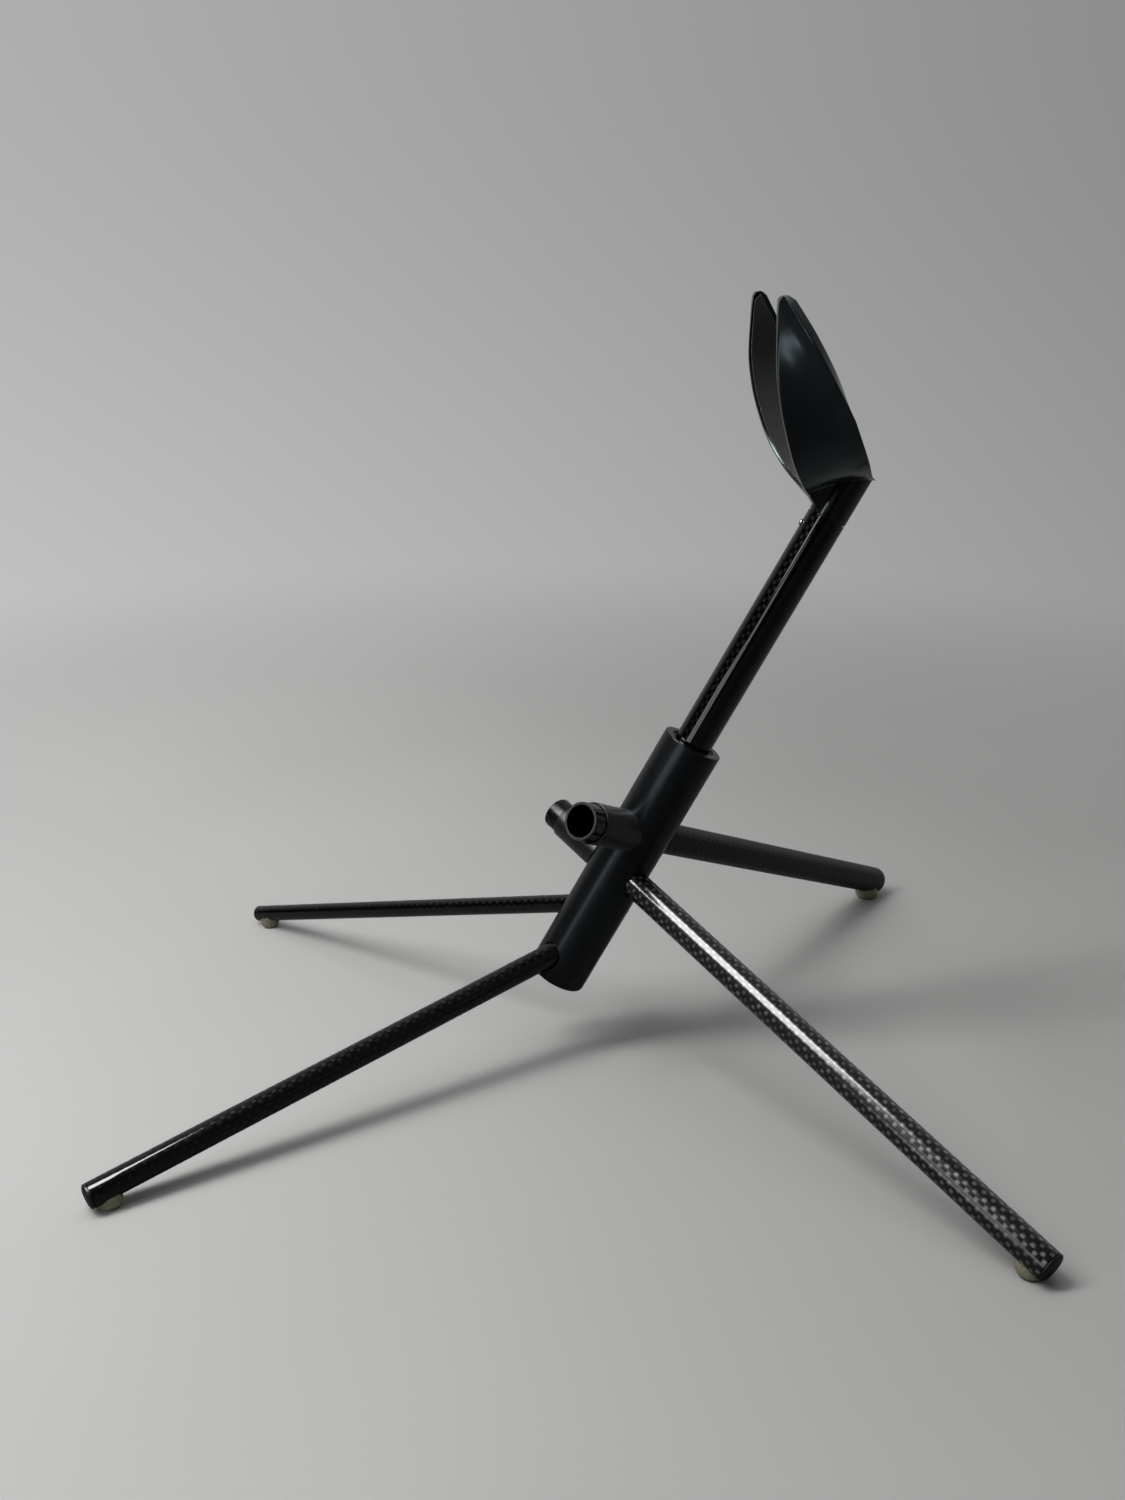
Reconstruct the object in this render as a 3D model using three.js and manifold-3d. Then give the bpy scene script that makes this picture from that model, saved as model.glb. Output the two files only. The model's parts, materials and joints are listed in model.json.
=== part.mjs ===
// A take-apart alto saxophone stand made of carbon-fibre tubes.
// An inclined hub carries four plug-in legs, a mast that ends in a crescent cradle for the bell,
// and two cross tubes whose open ends stand out as a V-shaped rest for the bow.
// Millimetres, +Z up, floor at z = 0. +X is the side the bell points to, +Y is the stand's left.
// The origin is the middle of the footprint, on the floor.
import * as THREE from 'three';
import { mergeVertices } from 'three/addons/utils/BufferGeometryUtils.js';
import Module from 'manifold-3d';

const DEG = Math.PI / 180;
const STAND_X = -2.740; // the hub axis' lower end, from the origin
const STAND_Y = 1.925;
const FIT = 0.3; // running clearance between a tube and its bore, on the radius

// ---- hub: a bored round bar. A station is a distance along its axis from its lower end.
const HUB_LEAN = 28.24 * DEG; // from the vertical, towards +X
const HUB_RADIUS = 13;
const HUB_LENGTH = 122.3;
const HUB_BOTTOM_Z = 32.75; // height of the centre of its lower end
const HUB_BOTTOM_ROUND = 1.2;
const HUB_TOP_CHAMFER = 0.5;
const HUB_SEGMENTS = 40;

// ---- friction rings and the grooves round them
const RING_SECTION = 0.52;
const RING_OFFSET = 0.55; // from the bore's wall to the middle of the section
const LEG_GROOVE = { depth: 1.4, halfWidth: 0.9 };
const MAST_GROOVE = { depth: 1.5, halfWidth: 1.0 };

// ---- legs: each tube nests inside the next size up when the stand is packed.
// station: where the leg's axis meets the hub's. heading: compass angle, in degrees.
// reach: from the hub axis to the tip. root: how far the tube passes the hub axis.
// ring: friction ring, from the hub axis. pad: diameter of the foot pad.
// cross: names of the parts that carry a front leg through the hub.
const FRONT_HEADING = 50;
const REAR_HEADING = 144.4;
const FRONT_LEG = { reach: 236, root: 12, ring: 6.3 };
const REAR_LEG = { reach: 226.7, root: 8, ring: 8.8 };
const LEGS = {
  front_left: {
    ...FRONT_LEG, diameter: 14, station: 76.1, heading: FRONT_HEADING, pad: 12,
    finish: 'satin_carbon', cross: { tube: 'cross_tube_upper', sleeve: 'rest_sleeve_right' },
  },
  front_right: {
    ...FRONT_LEG, diameter: 12, station: 57.2, heading: -FRONT_HEADING, pad: 11,
    finish: 'gloss_carbon', cross: { tube: 'cross_tube_lower', sleeve: 'rest_sleeve_left' },
  },
  rear_right: {
    ...REAR_LEG, diameter: 10, station: 17.8, heading: -REAR_HEADING, pad: 10,
    finish: 'gloss_carbon',
  },
  rear_left: {
    ...REAR_LEG, diameter: 8, station: 39.3, heading: REAR_HEADING, pad: 9,
    finish: 'satin_carbon',
  },
};
const LEG_WALL = 0.9;
const LEG_BORE_REACH = 40; // how far a bore's cutter runs out of the hub
const BLIND_BORE_GAP = 0.5; // beyond the root of a rear leg

// ---- end caps
const CAP_HEAD = 1.5; // thickness of the rounded head
const CAP_GAP = 0.3; // between the head and the tube
const CAP_SPIGOT = 8;
const CAP_RIM = 0.5; // straight part of the head's edge
const CAP_ROUND = 1.1; // narrowing of the head at its tip, on the radius

// ---- foot pads
const PAD_SETBACK = 9; // from a leg's tip to the middle of its pad
const PAD_HEIGHT = 3.0; // from the floor to the underside of the tube
const PAD_SOLE_RADIUS = 3;
const PAD_WRAP = 0.55; // how far the pad climbs the tube, in tube radii
const PAD_TUBE_GAP = 0.15;

// ---- cross tubes: socket for a front leg at one end, bow rest at the other
const CROSS_WALL = 1; // over the leg's radius
const CROSS_SOCKET_END = 4.8; // past the hub axis on the leg's side
const CROSS_STUB_END = 44; // past the hub axis on the other side
const CROSS_STEP = 0.5; // shoulder that stops the leg, on the radius
const CROSS_END_GAP = 0.3; // beyond the leg's root, and beyond the tube's socket end
const SLEEVE_WALL = 0.6;
const SLEEVE_GAP = 0.2;
const SLEEVE_FROM = 2; // ends of the uncut sleeve along the stub, from the hub axis
const SLEEVE_TO = 36.5;
const SLEEVE_HUB_GAP = 0.3;

// ---- mast and its socket, by station
const MAST_RADIUS = 8;
const MAST_INNER_RADIUS = MAST_RADIUS - 0.9;
const MAST_ROOT = 88;
const MAST_TOP = 230.4;
const MAST_BORE_FLOOR = 87.5;
const MAST_RING = 113;
const MOUTH_FLARE = 1.3; // chamfer at the socket's mouth, on the radius
const MOUTH_FROM = 1.6; // ends of the chamfer, below the hub's top
const MOUTH_TO = 0.9;

// ---- cradle neck: a plug in the top of the mast, by station
const NECK_ROOT = 212;
const NECK_SEAM = 230.7; // spigot below, full body above
const NECK_TOP = 264; // before it is cut to the saddle
const NECK_UNTRIMMED_TO = 233.5;
const NECK_LEAD_IN = { radial: 0.6, length: 1 }; // chamfer at the spigot's end
const NECK_SADDLE_GAP = 0.3;
const NECK_FRONT = 9.9; // trimmed edges, by depth behind the bell's rim
const NECK_THROAT = 35.1;
const GUSSET = [ // x across the hub axis, station
  [-7.4, 231.9], [-15.9, 236.9], [-12, 250], [0, 250], [0, 231.9],
];
const GUSSET_WIDTH = 12;

// ---- pin that locks the neck in the mast, its domed head on the hub's -x side
const PIN_STATION = 223.9;
const PIN_RADIUS = 1.3;
const PIN_HEAD = 1.0; // how far it stands out of the mast
const PIN_INNER_END = 2.4; // from the mast's axis
const PIN_HOLE_INNER_END = 2; // in the neck
const PIN_CLEARANCE = 0.25;

// ---- bell: its frame has x from the bell's axis towards the mast, z from the rim to the throat
const BELL_TILT = 29.9 * DEG; // between the bell's axis and the mast's
const RIM_ACROSS = -33.15; // centre of the rim circle in the hub's frame
const RIM_ALONG = 287.46;
const BELL_WALL = [ // depth behind the rim, outer radius of the bell's wall
  [4, 50.0], [7.5, 47.3], [12, 45.2], [21, 42.8], [37, 40.0],
];

// ---- saddle, fitted to the flare of the bell
const LINER = 0.8;
const SADDLE_STANDOFF = LINER + 0.3; // from the bell's wall to the saddle's inner face
const SADDLE_OUT = [ // depth behind the rim, outer radius of the saddle
  [10.2, 52.8], [14.8, 49.4], [21, 46.7], [28, 45.3], [37, 44.5],
];
const SADDLE_FRONT = 7.0; // depth of its front inner edge
const SADDLE_ECCENTRICITY = 0.5; // shift of its outer surface, so it is thicker at the mast
const SADDLE_SEGMENTS = 64;
const CRESCENT = [ // side outline: depth behind the rim, height above the bell's axis
  [10.1, -60], [10.1, -53], [11.3, -50], [11.7, -46], [11.5, -40], [10.8, -28], [9.8, -18],
  [8.4, -8], [7.5, 2], [7.0, 15], [6.8, 25.7], [7.5, 27.8], [8.9, 29.8], [10.6, 30.4],
  [11.8, 30.2], [13, 29.0], [15.6, 25.3], [18.3, 21], [22.3, 14.7], [25.9, 8.4], [29, 1.3],
  [31.5, -5.4], [33.8, -13.5], [35.5, -21], [36.5, -28.5], [36.6, -36], [35.7, -44], [35.1, -60],
];
const CRESCENT_HALF_WIDTH = 70; // beyond the saddle's sides

// ---- liner: the crescent's outline drawn in
const LINER_MIDDLE = 21; // depth towards which the outline shrinks
const LINER_SHRINK = 0.9;
const LINER_TIP_TRIM = 1.8; // off the height, in full from LINER_TRIM_HEIGHT up
const LINER_TRIM_HEIGHT = 15;
const LINER_FRONT_SETBACK = 1.3; // behind the saddle's front inner edge
const LINER_MIN_STEP = 0.4; // outline points closer to the last one are dropped

// ---- saddle screw; lengths run from the saddle's inner face
const SCREW_DEPTH = 21.5; // behind the rim
const SCREW_RADIUS = 2;
const SCREW_LENGTH = 10;
const SCREW_SINK = 0.9; // from the inner face to the countersink
const SCREW_TIP_CHAMFER = 0.6;
const SCREW_HEAD = { radius: 3.9, top: 0.05, rimEnd: 0.25, coneEnd: 2.15 }; // below the sink
const COUNTERSINK = { radius: 4.4, height: 2.2, clearance: 0.3 };

// ---- materials
const FINISHES = {
  hub: { color: 0x17181a, roughness: 0.45, metalness: 0 },
  gloss_carbon: { color: 0x0e0f10, roughness: 0.18, metalness: 0 },
  satin_carbon: { color: 0x1d1e1f, roughness: 0.42, metalness: 0 },
  saddle: { color: 0x0c0e10, roughness: 0.22, metalness: 0 },
  rubber: { color: 0x141516, roughness: 0.7, metalness: 0 },
  liner: { color: 0x1a1a1b, roughness: 0.9, metalness: 0 },
  cap: { color: 0x111213, roughness: 0.4, metalness: 0 },
  pad: { color: 0xb3ac96, roughness: 0.35, metalness: 0 },
  steel: { color: 0xb9bcc0, roughness: 0.3, metalness: 1 },
};

// ---- solids
const wasm = await Module();
wasm.setup();

// A manifold from a closed geometry: vertices welded, empty triangles dropped, faces outwards.
function solid(geometry) {
  const bare = new THREE.BufferGeometry();
  bare.setAttribute('position', geometry.attributes.position);
  bare.setIndex(geometry.index);
  const welded = mergeVertices(bare, 1e-4);
  const index = welded.index.array;
  const position = welded.attributes.position;
  const corners = [0, 1, 2].map(() => new THREE.Vector3());
  const triangles = [];
  let volume = 0;
  for (let i = 0; i < index.length; i += 3) {
    const triangle = [index[i], index[i + 1], index[i + 2]];
    if (new Set(triangle).size < 3) continue;
    triangles.push(...triangle);
    corners.forEach((corner, j) => corner.fromBufferAttribute(position, triangle[j]));
    volume += corners[0].dot(corners[1].cross(corners[2]));
  }
  if (volume < 0) {
    for (let i = 0; i < triangles.length; i += 3) {
      [triangles[i + 1], triangles[i + 2]] = [triangles[i + 2], triangles[i + 1]];
    }
  }
  return new wasm.Manifold(new wasm.Mesh({
    numProp: 3,
    vertProperties: new Float32Array(position.array),
    triVerts: new Uint32Array(triangles),
  }));
}

// A named, flat-shaded mesh from a manifold.
function part(name, manifold, finish) {
  const { vertProperties, triVerts } = manifold.getMesh();
  const indexed = new THREE.BufferGeometry();
  indexed.setAttribute('position', new THREE.BufferAttribute(new Float32Array(vertProperties), 3));
  indexed.setIndex(new THREE.BufferAttribute(new Uint32Array(triVerts), 1));
  const geometry = indexed.toNonIndexed();
  geometry.computeVertexNormals();
  const mesh = new THREE.Mesh(geometry, new THREE.MeshStandardMaterial(FINISHES[finish]));
  mesh.name = name;
  return mesh;
}

function largestPiece(manifold) {
  return manifold.decompose().sort((a, b) => b.volume() - a.volume())[0];
}

// a profile of [radius, height] turned about +Z
function turned(profile, segments = 32) {
  const points = profile.map(([radius, height]) => new THREE.Vector2(radius, height));
  return new THREE.LatheGeometry(points, segments).rotateX(Math.PI / 2);
}

function rod(radius, from, to, segments = 32) {
  return turned([[0, from], [radius, from], [radius, to], [0, to]], segments);
}

function tube(inner, outer, from, to) {
  return turned([[inner, from], [outer, from], [outer, to], [inner, to], [inner, from]]);
}

// an outline of [x, z] pulled to both sides along y
function prism(outline, halfWidth) {
  const shape = new THREE.Shape(outline.map(([x, z]) => new THREE.Vector2(x, z)));
  return new THREE.ExtrudeGeometry(shape, { depth: 2 * halfWidth, bevelEnabled: false })
    .translate(0, 0, -halfWidth)
    .rotateX(Math.PI / 2);
}

// a friction ring of hexagonal section round a shaft
function frictionRing(shaftRadius, station) {
  const profile = [];
  for (let i = 0; i <= 6; i++) {
    const angle = (i % 6) * (Math.PI / 3);
    profile.push([
      shaftRadius + FIT + RING_OFFSET + RING_SECTION * Math.cos(angle),
      station + RING_SECTION * Math.sin(angle),
    ]);
  }
  return solid(turned(profile, 24));
}

// profile points of a ring groove in a bore
function groove(radius, station, { depth, halfWidth }) {
  return [
    [radius, station - halfWidth], [radius + depth, station - halfWidth],
    [radius + depth, station + halfWidth], [radius, station + halfWidth],
  ];
}

// ---- frames
// a right-handed frame from its x and z directions
function frameMatrix(x, z, origin) {
  return new THREE.Matrix4().makeBasis(x, z.clone().cross(x), z).setPosition(origin);
}

// the slope that puts the sole of a leg's pad on the floor
function slopeOf(leg) {
  const drop = HUB_BOTTOM_Z + Math.cos(HUB_LEAN) * leg.station - PAD_HEIGHT;
  let slope = 15 * DEG;
  for (let i = 0; i < 60; i++) {
    const axisDrop = drop - leg.diameter / 2 / Math.cos(slope);
    slope = Math.asin(axisDrop / (leg.reach - PAD_SETBACK));
  }
  return slope;
}

// a leg's frame: z out along the leg, x square to it and upwards, origin on the hub axis
function legMatrix(leg) {
  const slope = slopeOf(leg);
  const heading = leg.heading * DEG;
  const level = new THREE.Vector3(Math.cos(heading), Math.sin(heading), 0);
  const out = level.clone().multiplyScalar(Math.cos(slope)).setZ(-Math.sin(slope));
  const top = level.clone().multiplyScalar(Math.sin(slope)).setZ(Math.cos(slope));
  const origin = new THREE.Vector3(
    Math.sin(HUB_LEAN) * leg.station, 0, HUB_BOTTOM_Z + Math.cos(HUB_LEAN) * leg.station,
  );
  return frameMatrix(top, out, origin);
}

const stand = new THREE.Group();
stand.position.set(STAND_X, STAND_Y, 0);

const hubFrame = new THREE.Group();
hubFrame.position.set(0, 0, HUB_BOTTOM_Z);
hubFrame.rotation.y = HUB_LEAN;
hubFrame.updateMatrix();
stand.add(hubFrame);

const bellMatrix = frameMatrix(
  new THREE.Vector3(Math.cos(BELL_TILT), 0, -Math.sin(BELL_TILT)),
  new THREE.Vector3(-Math.sin(BELL_TILT), 0, -Math.cos(BELL_TILT)),
  new THREE.Vector3(RIM_ACROSS, 0, RIM_ALONG),
);
const bellFrame = new THREE.Group();
bellFrame.applyMatrix4(bellMatrix);

// ---- hub
// mast socket with a chamfered mouth and a groove for its ring
function mastBore() {
  const radius = MAST_RADIUS + FIT;
  const mouth = radius + MOUTH_FLARE;
  return solid(turned([
    [0, MAST_BORE_FLOOR], [radius, MAST_BORE_FLOOR],
    ...groove(radius, MAST_RING, MAST_GROOVE),
    [radius, HUB_LENGTH - MOUTH_FROM], [mouth, HUB_LENGTH - MOUTH_TO],
    [mouth, HUB_LENGTH + 1], [0, HUB_LENGTH + 1],
  ]));
}

// A front leg's bore widens for its cross tube and runs through; a rear leg's is blind.
function legBore(leg) {
  const radius = leg.diameter / 2 + FIT;
  const crossRadius = radius + CROSS_WALL;
  const crossEnd = CROSS_SOCKET_END + CROSS_END_GAP;
  const floor = -leg.root - BLIND_BORE_GAP;
  const start = leg.cross
    ? [[0, -LEG_BORE_REACH], [crossRadius, -LEG_BORE_REACH],
      [crossRadius, crossEnd], [radius, crossEnd]]
    : [[0, floor], [radius, floor]];
  const bore = turned([
    ...start, ...groove(radius, leg.ring, LEG_GROOVE),
    [radius, LEG_BORE_REACH], [0, LEG_BORE_REACH],
  ]);
  const toHub = hubFrame.matrix.clone().invert();
  return solid(bore.applyMatrix4(legMatrix(leg)).applyMatrix4(toHub));
}

function hubBody() {
  const round = HUB_BOTTOM_ROUND;
  let body = solid(turned([
    [0, 0], [HUB_RADIUS - round, 0], [HUB_RADIUS - 0.3 * round, 0.3 * round], [HUB_RADIUS, round],
    [HUB_RADIUS, HUB_LENGTH - HUB_TOP_CHAMFER], [HUB_RADIUS - HUB_TOP_CHAMFER, HUB_LENGTH],
    [0, HUB_LENGTH],
  ], HUB_SEGMENTS)).subtract(mastBore());
  for (const leg of Object.values(LEGS)) body = body.subtract(legBore(leg));
  return body;
}

// ---- legs, each in its own frame
function legTube(leg) {
  const radius = leg.diameter / 2;
  return solid(tube(radius - LEG_WALL, radius, -leg.root, leg.reach - CAP_HEAD - CAP_GAP));
}

function endCap(leg) {
  const radius = leg.diameter / 2;
  const spigot = radius - LEG_WALL - FIT;
  const seam = leg.reach - CAP_HEAD;
  return solid(turned([
    [0, seam - CAP_SPIGOT], [spigot, seam - CAP_SPIGOT], [spigot, seam], [radius, seam],
    [radius, seam + CAP_RIM], [radius - CAP_ROUND, leg.reach], [0, leg.reach],
  ], 28));
}

// a round button, its sole flat on the floor, its top hollowed to the tube
function footPad(leg) {
  const radius = leg.diameter / 2;
  const padRadius = leg.pad / 2;
  const top = PAD_HEIGHT + PAD_WRAP * radius;
  const button = turned([
    [0, 0], [PAD_SOLE_RADIUS, 0],
    [PAD_SOLE_RADIUS + 0.6 * (padRadius - PAD_SOLE_RADIUS), 0.6],
    [padRadius - 0.3, 1.7], [padRadius, 2.9], [padRadius, top], [0, top],
  ], 24);
  // the vertical and the level outward direction, seen in the leg's frame
  const slope = slopeOf(leg);
  const vertical = new THREE.Vector3(Math.cos(slope), 0, -Math.sin(slope));
  const outward = new THREE.Vector3(Math.sin(slope), 0, Math.cos(slope));
  const axisHeight = PAD_HEIGHT + radius / Math.cos(slope);
  const origin = new THREE.Vector3(0, 0, leg.reach - PAD_SETBACK)
    .addScaledVector(vertical, -axisHeight);
  const hollow = rod(radius + PAD_TUBE_GAP, leg.reach - 40, leg.reach + 20);
  return solid(button.applyMatrix4(frameMatrix(outward, vertical, origin)))
    .subtract(solid(hollow));
}

function crossTube(leg) {
  const outer = leg.diameter / 2 + CROSS_WALL;
  const socket = leg.diameter / 2 + FIT;
  const bore = socket - CROSS_STEP;
  const shoulder = -leg.root - CROSS_END_GAP;
  return solid(turned([
    [bore, -CROSS_STUB_END], [outer, -CROSS_STUB_END], [outer, CROSS_SOCKET_END],
    [socket, CROSS_SOCKET_END], [socket, shoulder], [bore, shoulder], [bore, -CROSS_STUB_END],
  ]));
}

// sleeve on the stub, its inner end cut to clear the hub
function restSleeve(leg) {
  const inner = leg.diameter / 2 + CROSS_WALL + SLEEVE_GAP;
  const sleeve = solid(tube(inner, inner + SLEEVE_WALL, -SLEEVE_TO, -SLEEVE_FROM));
  const hubClearance = rod(HUB_RADIUS + SLEEVE_HUB_GAP, -20, HUB_LENGTH + 20, HUB_SEGMENTS)
    .applyMatrix4(hubFrame.matrix)
    .applyMatrix4(legMatrix(leg).invert());
  return largestPiece(sleeve.subtract(solid(hubClearance)));
}

function legGroup(name, leg) {
  const frame = new THREE.Group();
  frame.applyMatrix4(legMatrix(leg));
  frame.add(
    part(`${name}_leg_tube`, legTube(leg), leg.finish),
    part(`${name}_end_cap`, endCap(leg), 'cap'),
    part(`${name}_socket_ring`, frictionRing(leg.diameter / 2, leg.ring), 'rubber'),
    part(`${name}_foot_pad`, footPad(leg), 'pad'),
  );
  if (leg.cross) {
    frame.add(
      part(leg.cross.tube, crossTube(leg), 'gloss_carbon'),
      part(leg.cross.sleeve, restSleeve(leg), 'rubber'),
    );
  }
  return frame;
}

// ---- mast and neck pin
// lays a shape turned about +Z along the pin, pointing to the hub's -x side
function alongPin(geometry) {
  return solid(geometry.rotateY(-Math.PI / 2).translate(0, 0, PIN_STATION));
}

function pinHole(from) {
  return alongPin(rod(PIN_RADIUS + PIN_CLEARANCE, from, 20, 16));
}

function mastTube() {
  return solid(tube(MAST_INNER_RADIUS, MAST_RADIUS, MAST_ROOT, MAST_TOP)).subtract(pinHole(0));
}

function neckPin() {
  return alongPin(turned([
    [0, PIN_INNER_END], [PIN_RADIUS, PIN_INNER_END], [PIN_RADIUS, MAST_RADIUS + PIN_HEAD * 0.4],
    [PIN_RADIUS - 0.35, MAST_RADIUS + PIN_HEAD * 0.85],
    [PIN_RADIUS - 0.8, MAST_RADIUS + PIN_HEAD], [0, MAST_RADIUS + PIN_HEAD],
  ], 16));
}

// ---- cradle, in the bell's frame
// outer radius of the bell's wall; the end slopes run on past the table
function bellRadius(depth) {
  const last = BELL_WALL.length - 1;
  const next = Math.max(1, BELL_WALL.findIndex(([d], i) => depth <= d || i === last));
  const [depth0, radius0] = BELL_WALL[next - 1];
  const [depth1, radius1] = BELL_WALL[next];
  return radius0 + ((radius1 - radius0) * (depth - depth0)) / (depth1 - depth0);
}

// the bell as a full body, grown by an offset
function flare(offset, from, to) {
  const between = BELL_WALL.filter(([depth]) => depth > from + 0.01 && depth < to - 0.01);
  return solid(turned([
    [0, from], [bellRadius(from) + offset, from],
    ...between.map(([depth, radius]) => [radius + offset, depth]),
    [bellRadius(to) + offset, to], [0, to],
  ], SADDLE_SEGMENTS));
}

function saddleOuter(grow) {
  const front = bellRadius(SADDLE_FRONT) + SADDLE_STANDOFF + grow;
  return turned([
    [0, SADDLE_FRONT - grow], [front, SADDLE_FRONT - grow],
    ...SADDLE_OUT.map(([depth, radius]) => [radius + grow, depth]),
    [0, SADDLE_OUT.at(-1)[0]],
  ], SADDLE_SEGMENTS).translate(SADDLE_ECCENTRICITY, 0, 0);
}

function crescentPrism(outline) {
  return solid(prism(outline.map(([depth, height]) => [-height, depth]), CRESCENT_HALF_WIDTH));
}

// lays a shape turned about +Z along the screw, pointing away from the bell
function alongScrew(geometry) {
  return geometry
    .rotateY(Math.PI / 2)
    .translate(bellRadius(SCREW_DEPTH) + SADDLE_STANDOFF, 0, SCREW_DEPTH);
}

function screwHole(from, to) {
  const { radius, height, clearance } = COUNTERSINK;
  const shank = SCREW_RADIUS + clearance;
  return alongScrew(turned([
    [0, from], [radius, from], [radius, SCREW_SINK], [shank, SCREW_SINK + height],
    [shank, to], [0, to],
  ], 16));
}

function cradleSaddle() {
  return solid(saddleOuter(0))
    .subtract(flare(SADDLE_STANDOFF, 3, 40))
    .intersect(crescentPrism(CRESCENT))
    .subtract(solid(screwHole(-3, 12)));
}

// the lining stops short of the saddle's front, throat and tips
function saddleLiner() {
  const inset = CRESCENT.map(([depth, height]) => [
    Math.max(
      LINER_MIDDLE + (depth - LINER_MIDDLE) * LINER_SHRINK,
      SADDLE_FRONT + LINER_FRONT_SETBACK,
    ),
    height - LINER_TIP_TRIM * THREE.MathUtils.clamp(height / LINER_TRIM_HEIGHT, 0, 1),
  ]);
  const outline = inset.filter(([depth, height], i) => (
    i === 0 || Math.hypot(depth - inset[i - 1][0], height - inset[i - 1][1]) > LINER_MIN_STEP
  ));
  return flare(LINER, 4, 39).subtract(flare(0, 3, 40)).intersect(crescentPrism(outline));
}

function saddleScrew() {
  const { radius, top, rimEnd, coneEnd } = SCREW_HEAD;
  return solid(alongScrew(turned([
    [0, SCREW_SINK + top], [radius, SCREW_SINK + top], [radius, SCREW_SINK + rimEnd],
    [SCREW_RADIUS, SCREW_SINK + coneEnd], [SCREW_RADIUS, SCREW_LENGTH - SCREW_TIP_CHAMFER],
    [SCREW_RADIUS - SCREW_TIP_CHAMFER, SCREW_LENGTH], [0, SCREW_LENGTH],
  ], 16)));
}

// spigot, round body and a gusset that meets the underside of the saddle, in the hub's frame
function cradleNeck() {
  const spigot = MAST_INNER_RADIUS - FIT;
  const plug = solid(turned([
    [0, NECK_ROOT], [spigot - NECK_LEAD_IN.radial, NECK_ROOT],
    [spigot, NECK_ROOT + NECK_LEAD_IN.length], [spigot, NECK_SEAM],
    [MAST_RADIUS, NECK_SEAM], [MAST_RADIUS, NECK_TOP], [0, NECK_TOP],
  ]));
  // keeps the head between the two trim depths and leaves the shaft below whole
  const slab = prism(
    [[90, NECK_FRONT], [-60, NECK_FRONT], [-60, NECK_THROAT], [90, NECK_THROAT]], 40,
  ).applyMatrix4(bellMatrix);
  const shaft = rod(MAST_RADIUS + 0.05, NECK_ROOT - 1, NECK_UNTRIMMED_TO);
  const neck = plug
    .add(solid(prism(GUSSET, GUSSET_WIDTH / 2)))
    .subtract(solid(saddleOuter(NECK_SADDLE_GAP).applyMatrix4(bellMatrix)))
    .intersect(solid(slab).add(solid(shaft)))
    .subtract(solid(screwHole(0, SCREW_LENGTH + 0.5).applyMatrix4(bellMatrix)))
    .subtract(pinHole(PIN_HOLE_INNER_END));
  return largestPiece(neck);
}

// ---- assembly
for (const [name, leg] of Object.entries(LEGS)) stand.add(legGroup(name, leg));
bellFrame.add(
  part('cradle_saddle', cradleSaddle(), 'saddle'),
  part('saddle_liner', saddleLiner(), 'liner'),
  part('saddle_screw', saddleScrew(), 'steel'),
);
hubFrame.add(
  part('hub_body', hubBody(), 'hub'),
  part('mast_tube', mastTube(), 'gloss_carbon'),
  part('mast_socket_ring', frictionRing(MAST_RADIUS, MAST_RING), 'rubber'),
  bellFrame,
  part('cradle_neck', cradleNeck(), 'saddle'),
  part('neck_pin', neckPin(), 'steel'),
);

export default stand;
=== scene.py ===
import json
import math
from collections import namedtuple

import bmesh
import bpy
import numpy as np
from mathutils import Matrix, Vector


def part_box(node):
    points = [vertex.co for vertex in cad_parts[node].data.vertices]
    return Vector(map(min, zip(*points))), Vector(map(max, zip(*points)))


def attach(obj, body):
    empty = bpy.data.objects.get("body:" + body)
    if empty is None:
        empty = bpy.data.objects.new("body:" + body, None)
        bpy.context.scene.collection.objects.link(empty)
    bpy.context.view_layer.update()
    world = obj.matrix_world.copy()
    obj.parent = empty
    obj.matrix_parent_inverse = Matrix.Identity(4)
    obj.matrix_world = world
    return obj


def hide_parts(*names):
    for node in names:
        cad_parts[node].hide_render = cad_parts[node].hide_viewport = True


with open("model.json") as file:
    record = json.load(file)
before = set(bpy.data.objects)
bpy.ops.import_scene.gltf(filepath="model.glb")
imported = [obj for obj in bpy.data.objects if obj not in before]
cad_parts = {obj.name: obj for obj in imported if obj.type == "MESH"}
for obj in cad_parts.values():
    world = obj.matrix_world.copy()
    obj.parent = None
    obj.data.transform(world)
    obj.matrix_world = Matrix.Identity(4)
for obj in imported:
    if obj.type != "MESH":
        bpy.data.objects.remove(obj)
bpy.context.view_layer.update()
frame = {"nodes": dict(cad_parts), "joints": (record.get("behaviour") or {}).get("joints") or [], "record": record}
joints = {joint["name"]: joint for joint in frame["joints"]}
mounts = {mount["name"]: mount for mount in frame["record"]["mounts"]}

# ---------------------------------------------------------------- dimensions, millimetres

MM = 0.001  # metres in a millimetre

HUB_R = 13.0
CLEARANCE = 0.3  # between a tube and its bore, on the radius
TUBE_WALL = 0.9
STUB_OUT = 1.0  # from a leg tube's radius to its cross stub's

RING_OUT = 0.55  # from a bore's wall to the centre line of its friction ring
RING_SECTION_R = 0.52

MAST_R = 8.0
MAST_BORE_R = MAST_R + CLEARANCE
MAST_RING_Z = 113.0  # heights along the mast are measured from the hub's lower end
MAST_BORE_FLOOR = 87.5

PIN_Z = 223.9
PIN_R = 1.3
PIN_TOP = 9.0  # the top of the pin's dome, from the mast's axis
PIN_SHOULDER = 8.45  # where the dome begins
PIN_HOLE_R = 1.55

NECK_SEAM = 230.7  # where the neck's body meets the top of the mast
NECK_PLUG_R = 6.8

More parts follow.
